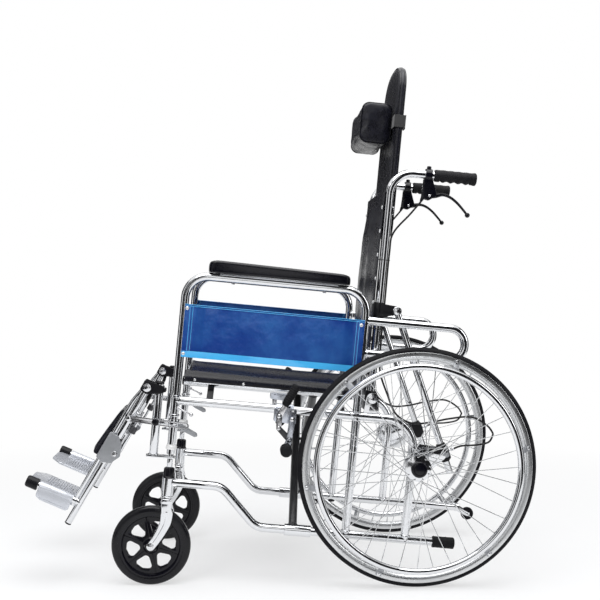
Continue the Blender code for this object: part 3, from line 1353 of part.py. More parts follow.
def legrest_leg():
    """Outer tube of the legrest, open below, with the clamp, the height rod and its knob."""
    outer = bar(at(FRAME_X, leg_spot(-0.010)), at(FRAME_X, leg_spot(LEG_OUTER_LENGTH)), LEG_R)
    clamp_r = LEG_R + 0.003
    clamp_low = LEG_OUTER_LENGTH - 0.073
    clamp_high = LEG_OUTER_LENGTH - 0.008
    clamp = leg_disc(clamp_r, clamp_low, clamp_high)
    corners = ((clamp_low, 0.0), (clamp_high, 0.0), (clamp_high + 0.003, -0.024), (clamp_high - 0.020, -0.038),
               (clamp_low + 0.014, -0.028))
    cheek = plate(rounded_outline([leg_spot(t, n) for t, n in corners], 0.004),
                  FRAME_X + 0.0085, FRAME_X + clamp_r + 0.0015)
    rod_out = -0.0225
    rod_low = 0.060
    rod_high = clamp_low - 0.019
    rod = bar(at(FRAME_X, leg_spot(rod_low, rod_out)), at(FRAME_X, leg_spot(rod_high, rod_out)), 0.004, 2)
    knob = leg_disc(0.0095, 0.104, 0.122, 8, rod_out - 0.001)
    lugs = [bar(at(FRAME_X, leg_spot(t, 0.0)), at(FRAME_X, leg_spot(t, rod_out)), 0.005, 2)
            for t in (rod_low + 0.012, rod_high - 0.0045)]
    face = RAISE_BAR_X + RAISE_BAR_T + SEAT_GAP
    bar_pin = headed_pin(PIN_R, 0.0065, FRAME_X, face, face + 0.0025, leg_spot(RAISE_RADIUS))
    pin_hole = pin_x(PIN_R + RUN_GAP, FRAME_X - 2 * LEG_R, FRAME_X + 2 * LEG_R, LEG_PIVOT)
    bore = leg_disc(LEG_INNER_R + 2 * RUN_GAP, 0.120, LEG_OUTER_LENGTH + 0.01)
    return cut(union(outer, clamp, cheek, rod, knob, *lugs, bar_pin), pin_hole, bore)


def raise_run():
    """Direction and length from the raising bar's pin on the leg to the hanger's bolt."""
    run = Vector(raise_bolt_spot()) - Vector(leg_spot(RAISE_RADIUS))
    return run.normalized(), run.length


def legrest_bar():
    """Slotted bar that slides over the hanger's bolt while the leg rises."""
    heading, rest = raise_run()
    pin = leg_spot(RAISE_RADIUS)
    rest_angle = 2.0 * math.asin(rest / (2.0 * RAISE_RADIUS))
    reach = 2.0 * RAISE_RADIUS * math.sin((rest_angle + RAISE_RANGE) / 2.0)
    face = RAISE_BAR_X + SEAT_GAP
    body = plate(capsule(pin, along(pin, heading, reach + 0.003), RAISE_BAR_HALF, RAISE_BAR_HALF), face,
                 RAISE_BAR_X + RAISE_BAR_T)
    slot_r = PIN_R + RUN_GAP
    slot = plate(capsule(along(pin, heading, rest - 0.001), along(pin, heading, reach + 0.001), slot_r, slot_r),
                 face - 0.01, face + 0.02)
    hole = pin_x(slot_r, face - 0.01, face + 0.02, pin)
    return cut(body, slot, hole)


def calf_section(x, thin):
    """Outline of the calf pad at one width, drawn in towards its side edges."""
    near = 0.017 + 0.006 * thin
    far = 0.043 - 0.008 * thin
    top = CALF_TOP_AT + 0.014 * thin
    low = CALF_LOW_AT - 0.014 * thin
    corners = ((top, near), (top, far - 0.006), (top + 0.008, far), ((top + low) / 2.0, far + 0.002),
               (low - 0.008, far), (low, far - 0.006), (low, near))
    return [at(x, leg_spot(t, n)) for t, n in corners]


def calf_pad():
    """Padded board carried by a sleeve that swings round the leg."""
    low, high = CALF_SLEEVE_AT
    sleeve = leg_disc(LEG_R + 0.0035, low, high, 14)
    hole = leg_disc(LEG_R + 2 * RUN_GAP, low - 0.01, high + 0.01, 14)
    edge = FRAME_X - 0.018
    board = loft([calf_section(edge - CALF_WIDTH, 1.0), calf_section(edge - CALF_WIDTH + 0.004, 0.4),
                  calf_section(edge - CALF_WIDTH + 0.014, 0.0), calf_section(edge - 0.014, 0.0),
                  calf_section(edge - 0.004, 0.4), calf_section(edge, 1.0)])
    corners = ((low + 0.005, 0.0), (high - 0.005, 0.0), (high - 0.005, 0.022), (low + 0.005, 0.022))
    arm = plate([leg_spot(t, n) for t, n in corners], edge - 0.020, FRAME_X - 0.006)
    return union(cut(union(sleeve, arm), hole), board)


def foot_heading():
    return Vector((-math.cos(FOOT_BAR_ANGLE), math.sin(FOOT_BAR_ANGLE)))


def foot_disc(radius, low, high, steps=12):
    """Round solid along the footplate's bar."""
    heading = foot_heading()
    return disc(radius, low, high, at(FRAME_X, leg_spot(FOOT_BAR_AT)), (0.0, heading.x, heading.y), steps)


def footrest_bar():
    """Sliding tube of the legrest with the footplate's bar and its end cap."""
    slide = bar(at(FRAME_X, leg_spot(0.190)), at(FRAME_X, leg_spot(LEG_LENGTH)), LEG_INNER_R)
    start = leg_spot(FOOT_BAR_AT)
    spur = bar(at(FRAME_X, start), at(FRAME_X, along(start, foot_heading(), FOOT_BAR_LENGTH)), FOOT_BAR_R)
    cap_low = FOOT_BAR_LENGTH - 0.004
    cap_high = FOOT_BAR_LENGTH + FOOT_CAP_LENGTH
    heading = foot_heading()
    cap = turned([(0.0, cap_low), (FOOT_CAP_R, cap_low), (FOOT_CAP_R, cap_high - 0.004),
                  (FOOT_CAP_R - 0.004, cap_high), (0.0, cap_high)],
                 at(FRAME_X, start), (0.0, heading.x, heading.y))
    return union(slide, spur, cap)


def foot_point(x, s, n):
    """Point at s along the footplate's bar and n above it."""
    heading = foot_heading()
    base = along(leg_spot(FOOT_BAR_AT), heading, s)
    return at(x, along(base, (heading.y, -heading.x), n))


def footplate_rib(x):
    foot_half = 0.0025
    crest_half = 0.0012
    outline = ((-foot_half, -0.002), (foot_half, -0.002), (crest_half, 0.0022), (-crest_half, 0.0022))
    return loft([[foot_point(x + a, s, n) for a, n in outline] for s in (PLATE_START + 0.006, PLATE_END + 0.006)])


def footplate():
    """Ribbed plate that turns up about its bar, with a skirt on the outer side."""
    inner_x = FRAME_X - PLATE_REACH
    sleeve = foot_disc(FOOT_BAR_R + RUN_GAP + 0.003, PLATE_START, PLATE_END)
    hole = foot_disc(FOOT_BAR_R + RUN_GAP, 0.0, FOOT_BAR_LENGTH + FOOT_CAP_LENGTH)
    outline = rounded_outline([(FRAME_X, PLATE_START), (FRAME_X, PLATE_END), (inner_x + 0.020, PLATE_END + 0.030),
                               (inner_x, PLATE_END), (inner_x, PLATE_START)], 0.014)
    board = loft([[foot_point(x, s, n) for x, s in outline] for n in (-PLATE_T, 0.0)])
    first = inner_x + 0.016
    pitch = (PLATE_REACH - 0.036) / (PLATE_RIBS - 1)
    ribs = joined([footplate_rib(first + pitch * i) for i in range(PLATE_RIBS)])
    skirt_in = FOOT_BAR_R
    skirt_out = skirt_in + 0.0032
    skirt_outline = ((skirt_in, 0.0), (skirt_out, 0.0), (skirt_out, -SKIRT_DEPTH), (skirt_in, -SKIRT_DEPTH))
    skirt = loft([[foot_point(FRAME_X + x, s, n) for x, n in skirt_outline] for s in (PLATE_START, PLATE_END)])
    return cut(union(board, sleeve, skirt, ribs), hole)


def make_legrests():
    leg_pivot = tuple(at(FRAME_X, LEG_PIVOT))
    pair("legrest_hanger", legrest_hanger(), "chrome", (FRAME_X, 0.0, HANGER_LOW_W))
    pair("legrest_leg", legrest_leg(), "chrome", leg_pivot)
    pair("legrest_bar", legrest_bar(), "steel", tuple(at(FRAME_X, leg_spot(RAISE_RADIUS))))
    pair("calf_pad", calf_pad(), "vinyl", leg_pivot)
    pair("footrest_bar", footrest_bar(), "chrome", leg_pivot)
    pair("footplate", footplate(), "grey_plastic", tuple(at(FRAME_X, leg_spot(FOOT_BAR_AT))))


def main():
    clear_scene()
    place_chair()
    make_side_frames()
    make_rail_ends()
    make_armrests()
    make_braces()
    node("seat_sling", seat_sling(), "vinyl", (FRAME_X, BRACE_U, LOWER_REAR_W))
    make_back()
    make_wheels()
    make_casters()
    make_parking_brakes()
    make_legrests()


main()
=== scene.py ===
import math

import bpy
from mathutils import Matrix, Vector, noise


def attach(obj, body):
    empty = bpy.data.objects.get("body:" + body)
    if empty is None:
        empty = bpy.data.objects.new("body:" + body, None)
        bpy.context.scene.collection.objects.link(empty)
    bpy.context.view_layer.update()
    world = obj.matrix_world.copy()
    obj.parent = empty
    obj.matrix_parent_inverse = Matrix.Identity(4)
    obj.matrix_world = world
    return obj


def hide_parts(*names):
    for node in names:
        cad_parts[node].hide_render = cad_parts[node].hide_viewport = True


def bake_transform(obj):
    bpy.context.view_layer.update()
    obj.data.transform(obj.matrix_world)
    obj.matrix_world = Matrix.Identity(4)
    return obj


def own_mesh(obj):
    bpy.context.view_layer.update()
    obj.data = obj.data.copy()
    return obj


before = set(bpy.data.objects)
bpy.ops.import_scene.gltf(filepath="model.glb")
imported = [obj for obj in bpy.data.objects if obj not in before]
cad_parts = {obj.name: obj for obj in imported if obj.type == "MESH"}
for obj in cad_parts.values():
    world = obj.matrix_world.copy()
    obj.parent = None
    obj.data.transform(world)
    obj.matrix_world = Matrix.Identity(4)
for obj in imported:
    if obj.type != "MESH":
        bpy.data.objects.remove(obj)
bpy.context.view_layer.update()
print("frame loaded")

# The chair is modelled upright in its own axes: x across, y rearward along the rails, z up the posts.
# Each finished piece is then leaned back onto its wheels.
chair = {
    "lean": 5.369107,  # degrees
    "frontPostY": -0.31083,
    "lift": -0.00088116,
    "tube": 0.011,  # radius of the main tubes
    "frame": 0.2375,  # middle of a side frame, from the chair's centre
    "seatRail": 0.18,
    "cane": 0.188,
    "strut": 0.2135,
    "wheel": 0.29,
    "rail": 0.4735,  # height of the upper rail
    "seat": 0.52,  # height of the seat rails and the recline hinge
    "low": 0.167,  # height of the lower rail's rear run
    "middlePost": 0.464,
    "caneY": 0.501,
}


# Picking, editing and finishing meshes


def leaveEdit():
    bpy.ops.object.mode_set(mode="OBJECT")


def settle():
    # the picked pieces' places, turns and sizes go into their meshes
    bpy.ops.object.transform_apply(location=True, rotation=True, scale=True)


def extrude(move):
    bpy.ops.mesh.extrude_region_move(TRANSFORM_OT_translate={"value": tuple(move)})


def pickNone():
    if bpy.context.object and bpy.context.object.mode != "OBJECT":
        leaveEdit()
    bpy.ops.object.select_all(action="DESELECT")


def pick(*pieces):
    pickNone()
    for piece in pieces:
        piece.select_set(True)
    bpy.context.view_layer.objects.active = pieces[0]


def editAll(piece):
    pick(piece)
    bpy.ops.object.mode_set(mode="EDIT")
    bpy.ops.mesh.select_all(action="SELECT")


def closeUp(piece, reach=0.00002):
    editAll(piece)
    bpy.ops.mesh.remove_doubles(threshold=reach)
    bpy.ops.mesh.normals_make_consistent(inside=False)
    leaveEdit()
    return piece


def useModifier(piece, kind, **settings):
    pick(piece)
    modifier = piece.modifiers.new("step", kind)
    for key, value in settings.items():
        setattr(modifier, key, value)
    bpy.ops.object.modifier_apply(modifier="step")
    return piece


def roundEdges(piece, width, segments=2, above=30.0):
    return useModifier(piece, "BEVEL", width=width, segments=segments, limit_method="ANGLE",
                       angle_limit=math.radians(above))


def smooth(piece, angle=34.0):
    pick(piece)
    bpy.ops.object.shade_smooth_by_angle(angle=math.radians(angle))
    return piece


def joined(*pieces):
    pick(*pieces)
    if len(pieces) > 1:
        bpy.ops.object.join()
    return pieces[0]


def copied(piece):
    pick(piece)
    bpy.ops.object.duplicate()
    return bpy.context.object


def otherSide(piece):
    # the piece itself, put on the chair's other side
    pick(piece)
    piece.scale.x = -1.0
    settle()
    return closeUp(piece, 0.0000001)


def mirrored(piece):
    return otherSide(copied(piece))


def turnedCopies(piece, count, spot, axis, offset=0.0):
    # one shape, copied round an axis and joined
    spot = Vector(spot)
    copies = []
    for i in range(count):
        copy = copied(piece)
        turn = Matrix.Rotation(math.radians(offset) + math.tau * i / count, 4, Vector(axis))
        copy.data.transform(Matrix.Translation(spot) @ turn @ Matrix.Translation(-spot))
        copies.append(copy)
    bpy.data.objects.remove(piece)
    return joined(*copies)


# Shapes drawn by extruding, spinning and moving points


def drawLine(spots):
    pickNone()
    bpy.ops.mesh.primitive_plane_add(size=0.002, location=spots[0])
    settle()
    piece = bpy.context.object
    bpy.ops.object.mode_set(mode="EDIT")
    bpy.ops.mesh.merge(type="CENTER")
    for here, there in zip(spots, spots[1:]):
        bpy.ops.mesh.extrude_vertices_move(TRANSFORM_OT_translate={"value": tuple(Vector(there) - Vector(here))})
    bpy.ops.mesh.select_all(action="SELECT")
    return piece


def slab(spots, push, edge=0.0006, segments=2):
    # flat outline, filled and given its thickness
    piece = drawLine(list(spots) + [spots[0]])
    bpy.ops.mesh.remove_doubles(threshold=0.00001)
    bpy.ops.mesh.edge_face_add()
    extrude(push)
    closeUp(piece)
    if edge:
        roundEdges(piece, edge, segments)
    return smooth(piece)


def sidePlate(outline, low, high, edge=0.0006, segments=2):
    return slab([(low, y, z) for y, z in outline], (high - low, 0, 0), edge, segments)


def cheekPair(outline, x, near, far, edge=0.0006, segments=2):
    # two like plates, one on each side of x
    return [sidePlate(outline, x - far, x - near, edge, segments),
            sidePlate(outline, x + near, x + far, edge, segments)]


def block(low, high, edge=0.001, segments=3):
    corners = [(low[1], low[2]), (high[1], low[2]), (high[1], high[2]), (low[1], high[2])]
    return sidePlate(corners, low[0], high[0], edge, segments)


def turned(profile, spot, axis, steps=32, angle=34.0):
    # profile of (radius, distance along the axis), spun all round
    along = Vector(axis).normalized()
    out = along.orthogonal().normalized()
    piece = drawLine([Vector(spot) + out * r + along * a for r, a in profile])
    bpy.ops.mesh.spin(steps=steps, angle=math.tau, center=spot, axis=along)
    closeUp(piece)
    return smooth(piece, angle)


def ring(radius, tube, spot, axis, steps=96, sides=14):
    profile = [(radius + tube * math.cos(math.tau * i / sides), tube * math.sin(math.tau * i / sides))
               for i in range(sides + 1)]
    return turned(profile, spot, axis, steps)


def sleeved(inner, outer, low, high, cut, spot, axis):
    # sleeve round a tube, its outer edges cut by (radius, length)
    profile = [(inner, low), (outer - cut[0], low), (outer, low + cut[1]), (outer, high - cut[1]),
               (outer - cut[0], high), (inner, high), (inner, low)]
    return turned(profile, spot, axis)


def ball(radius, spot, steps):
    turns = [math.radians(15 * k) for k in range(13)]
    return turned([(radius * math.sin(a), -radius * math.cos(a)) for a in turns], spot, (0, 1, 0), steps, 60)


def bentTube(corners, bends, radius, sides=24, edge=0.0, bendStep=8.0):
    # a circle extruded along each straight and spun round each bend
    spots = [Vector(corner) for corner in corners]
    heading = (spots[1] - spots[0]).normalized()
    pickNone()
    bpy.ops.mesh.primitive_circle_add(vertices=sides, radius=radius, fill_type="NGON", location=spots[0],
                                      rotation=heading.to_track_quat("Z", "Y").to_euler())
    settle()
    piece = bpy.context.object
    bpy.ops.object.mode_set(mode="EDIT")
    bpy.ops.mesh.select_all(action="SELECT")
    here = spots[0]
    for i, bend in enumerate(bends):
        corner = spots[i + 1]
        goIn = (corner - spots[i]).normalized()
        goOut = (spots[i + 2] - corner).normalized()
        turn = goIn.angle(goOut)
        trim = bend * math.tan(turn / 2.0)
        start = corner - goIn * trim
        axis = goIn.cross(goOut).normalized()
        if (start - here).length > 0.00001:
            extrude(start - here)
        bpy.ops.mesh.spin(steps=max(2, round(math.degrees(turn) / bendStep)), angle=-turn,
                          center=start + axis.cross(goIn) * bend, axis=axis)
        here = corner + goOut * trim
    extrude(spots[-1] - here)
    closeUp(piece)
    if edge:
        roundEdges(piece, edge, 2, 50.0)
    return smooth(piece)


def rod(start, end, radius, sides=20, edge=0.0006):
    return bentTube([start, end], [], radius, sides, edge)


def rolled(around, lengthwise, place, capped=True, angle=40.0):
    # a grid whose points are moved to place(s, t): s round the section, t along the piece, both 0 to 1
    pickNone()
    bpy.ops.mesh.primitive_grid_add(x_subdivisions=around, y_subdivisions=lengthwise, size=1.0)
    piece = bpy.context.object
    for point in piece.data.vertices:
        point.co = place(point.co.x + 0.5, point.co.y + 0.5)
    editAll(piece)
    bpy.ops.mesh.remove_doubles(threshold=0.000005)
    if capped:
        bpy.ops.mesh.fill_holes(sides=0)
    closeUp(piece, 0.000005)
    return smooth(piece, angle)


def wire(spots, radius, sides=4):
    # edges turned into a curve with a round section, then into a mesh
    piece = drawLine(spots)
    leaveEdit()
    bpy.ops.object.convert(target="CURVE")
    piece = bpy.context.object
    piece.data.bevel_depth = radius
    piece.data.bevel_resolution = sides
    piece.data.use_fill_caps = Vector(spots[0]) != Vector(spots[-1])
    bpy.ops.object.convert(target="MESH")
    piece = closeUp(bpy.context.object)
    return smooth(piece, 60.0)


def bolt(spot, face, out, radius, head=0.0035):
    # hex head on a washer, on a face square to x; out is 1 or -1
    washer = turned([(0, 0), (radius * 1.35, 0), (radius * 1.35, 0.0009), (radius * 1.25, 0.0013), (0, 0.0013)],
                    (face, spot[0], spot[1]), (out, 0, 0), 24)
    corners = [(spot[0] + radius * math.cos(math.tau * i / 6), spot[1] + radius * math.sin(math.tau * i / 6))
               for i in range(6)]
    return joined(washer, sidePlate(corners, face + out * 0.0012, face + out * (0.0012 + head), 0.0006))


def rivet(spot, face, out, radius, height=0.0016):
    profile = [(0, 0), (radius, 0), (radius, height * 0.25), (radius * 0.8, height * 0.7),
               (radius * 0.4, height * 0.95), (0, height)]
    return turned(profile, (face, spot[0], spot[1]), (out, 0, 0), 16)


# Outlines seen from the side, as (y, z)


def arcSpots(centre, radius, start, end, steps):
    return [(centre[0] + radius * math.cos(math.radians(start + (end - start) * i / steps)),
             centre[1] + radius * math.sin(math.radians(start + (end - start) * i / steps))) for i in range(steps + 1)]


def softCorners(corners, radius, steps=4):
    outline = []
    count = len(corners)
    for i in range(count):
        spot = Vector(corners[i])
        before = Vector(corners[i - 1]) - spot
        after = Vector(corners[(i + 1) % count]) - spot
        half = before.angle(after) / 2.0
        trim = min(radius / math.tan(half), before.length * 0.48, after.length * 0.48)
        bend = trim * math.tan(half)
        centre = spot + (before.normalized() + after.normalized()).normalized() * (bend / math.sin(half))
        first = (spot + before.normalized() * trim) - centre
        last = (spot + after.normalized() * trim) - centre
        sweep = first.angle_signed(last)
        for k in range(steps + 1):
            turn = -sweep * k / steps
            outline.append((centre.x + first.x * math.cos(turn) - first.y * math.sin(turn),
                            centre.y + first.x * math.sin(turn) + first.y * math.cos(turn)))
    return outline


def spaced(outline, step):
    # closed outline with its points about one step apart
    spots = []
    for i, spot in enumerate(outline):
        here = Vector(spot)
        there = Vector(outline[(i + 1) % len(outline)])
        count = max(1, round((there - here).length / step))
        spots += [here.lerp(there, k / count) for k in range(count)]
    return spots


def capsule(start, end, startRadius, endRadius, steps=10):
    run = Vector(end) - Vector(start)
    heading = math.degrees(math.atan2(run.y, run.x))
    return (arcSpots(start, startRadius, heading + 90, heading + 270, steps)
            + arcSpots(end, endRadius, heading - 90, heading + 90, steps))


def shifted(spot, y, z):
    return (spot[0] + y, spot[1] + z)


def at(x, spot):
    return (x, spot[0], spot[1])


def flowing(spots, between=5):
    # smooth route through the given spots
    spots = [Vector(spot) for spot in spots]
    route = []
    for i in range(len(spots) - 1):
        a = spots[max(i - 1, 0)]
        b = spots[i]
        c = spots[i + 1]
        d = spots[min(i + 2, len(spots) - 1)]
        for k in range(between):
            t = k / between
            route.append(0.5 * (2 * b + (c - a) * t + (2 * a - 5 * b + 4 * c - d) * t * t
                                + (3 * b - a - 3 * c + d) * t ** 3))
    return route + [spots[-1]]


# Finishes


def nodeGroup(name, scale, *outputs):
    # an effect that takes a place and a scale, and puts out values
    group = bpy.data.node_groups.new(name, "ShaderNodeTree")
    group.interface.new_socket("Place", in_out="INPUT", socket_type="NodeSocketVector")
    group.interface.new_socket("Scale", in_out="INPUT", socket_type="NodeSocketFloat").default_value = scale
    for label in outputs:
        group.interface.new_socket(label, in_out="OUTPUT", socket_type="NodeSocketFloat")
    start = group.nodes.new("NodeGroupInput")
    return group, start.outputs["Place"], start.outputs["Scale"], group.nodes.new("NodeGroupOutput")


def setInputs(tree, node, values):
    # numbers and colours are set, sockets are linked
    for key, value in dict(values).items():
        if isinstance(value, bpy.types.NodeSocket):
            tree.links.new(value, node.inputs[key])
        else:
            node.inputs[key].default_value = value
    return node


def addNode(tree, kind, values=(), **settings):
    node = tree.nodes.new("ShaderNode" + kind)
    for key, value in settings.items():
        setattr(node, key, value)
    return setInputs(tree, node, values)


def newMaterial(name):
    material = bpy.data.materials.new(name)
    material.use_nodes = True
    return material, material.node_tree, material.node_tree.nodes["Principled BSDF"]


def maths(tree, operation, first, second):
    return addNode(tree, "Math", {0: first, 1: second}, operation=operation).outputs[0]


def ranged(tree, value, low, high, toLow, toHigh):
    values = {"Value": value, "From Min": low, "From Max": high, "To Min": toLow, "To Max": toHigh}
    return addNode(tree, "MapRange", values).outputs["Result"]


def makeMarks():
    # where hands and weather have dulled a surface, 0 to 1
    tree, place, scale, end = nodeGroup("handlingMarks", 14.0, "Mask", "Scratches")
    cloud = addNode(tree, "TexNoise", {"Vector": place, "Scale": scale, "Detail": 5.0, "Roughness": 0.62})
    stretch = addNode(tree, "Mapping", {"Vector": place, "Rotation": (0.3, 0.9, 0.4), "Scale": (30.0, 900.0, 90.0)})
    lines = addNode(tree, "TexNoise", {"Vector": stretch.outputs[0], "Scale": 1.0, "Detail": 2.0})
    setInputs(tree, end, {"Mask": ranged(tree, cloud.outputs[0], 0.42, 0.72, 0.0, 1.0),
                          "Scratches": ranged(tree, lines.outputs[0], 0.62, 0.72, 0.0, 1.0)})
    return tree


def makeHide():
    # pebbled grain of coated cloth, with its fine creases; the crease mask also darkens the colour as painted shade in
    # the creases
    tree, place, scale, end = nodeGroup("vinylGrain", 620.0, "Height", "Creases")
    cells = addNode(tree, "TexVoronoi", {"Randomness": 0.9}, feature="DISTANCE_TO_EDGE")
    setInputs(tree, cells, {"Vector": place, "Scale": scale})
    wrinkle = addNode(tree, "TexNoise", {"Vector": place, "Scale": 46.0, "Detail": 4.0, "Roughness": 0.6,
                                         "Distortion": 0.8})
    pebble = ranged(tree, cells.outputs["Distance"], 0.0, 0.22, 0.0, 1.0)
    folded = maths(tree, "ABSOLUTE", maths(tree, "SUBTRACT", wrinkle.outputs[0], 0.5), 0.0)
    creases = ranged(tree, folded, 0.0, 0.06, 0.0, 1.0)
    height = maths(tree, "ADD", maths(tree, "MULTIPLY", pebble, 0.5), maths(tree, "MULTIPLY", creases, 0.5))
    setInputs(tree, end, {"Height": height, "Creases": creases})
    return tree


def makeMoulding():
    # spark-eroded skin of a moulding
    tree, place, scale, end = nodeGroup("mouldedGrain", 900.0, "Height")
    fine = addNode(tree, "TexNoise", {"Vector": place, "Scale": scale, "Detail": 3.0, "Roughness": 0.7})
    setInputs(tree, end, {"Height": fine.outputs[0]})
    return tree


grains = {"marks": makeMarks(), "vinyl": makeHide(), "moulded": makeMoulding()}


def makeFinish(name, look):
    material, tree, shader = newMaterial(name)
    place = addNode(tree, "TexCoord").outputs["Object"]
    marks = addNode(tree, "Group", {"Scale": look.get("markScale", 14.0), "Place": place}, node_tree=grains["marks"])
    wear = maths(tree, "MULTIPLY", marks.outputs["Mask"], look.get("wear", 0.6))
    shade = addNode(tree, "Mix", {"A": (*look["colour"], 1.0), "B": (*look["worn"], 1.0), "Factor": wear},
                    data_type="RGBA")
    colour = shade.outputs["Result"]
    rough = ranged(tree, marks.outputs["Mask"], 0.0, 1.0, *look["rough"])
    rough = maths(tree, "ADD", rough, maths(tree, "MULTIPLY", marks.outputs["Scratches"], look.get("scratch", 0.05)))
    bump = addNode(tree, "Bump", {"Strength": look.get("bump", 0.15), "Distance": look.get("depth", 0.0004)})
    height = marks.outputs["Scratches"]
    grain = look.get("grain")
    if grain:
        skin = addNode(tree, "Group", {"Scale": look.get("grainScale", 700.0), "Place": place}, node_tree=grains[grain])
        height = skin.outputs["Height"]
    # vinyl: colour multiplied darker along the crease lines, painted shade in the creases
    if grain == "vinyl":
        creaseShade = maths(tree, "SUBTRACT", 1.0, skin.outputs["Creases"])
        values = {"A": colour, "B": (0.45, 0.45, 0.5, 1.0), "Factor": creaseShade}
        colour = addNode(tree, "Mix", values, data_type="RGBA", blend_type="MULTIPLY").outputs["Result"]
    setInputs(tree, bump, {"Height": height})
    if look.get("ripple"):
        # slow unevenness of thin sheet
        wave = addNode(tree, "TexNoise", {"Vector": place, "Scale": look["ripple"], "Detail": 2.0})
        under = addNode(tree, "Bump", {"Strength": 0.35, "Distance": 0.004, "Height": wave.outputs[0]})
        setInputs(tree, bump, {"Normal": under.outputs[0]})
    setInputs(tree, shader, {
        "Base Color": colour, "Roughness": rough, "Normal": bump.outputs[0], "Metallic": look.get("metal", 0.0),
        "Coat Weight": look.get("coat", 0.0), "Coat Roughness": look.get("coatRough", 0.08),
        "Sheen Weight": look.get("sheen", 0.0), "Specular IOR Level": look.get("specular", 0.5)})
    return material


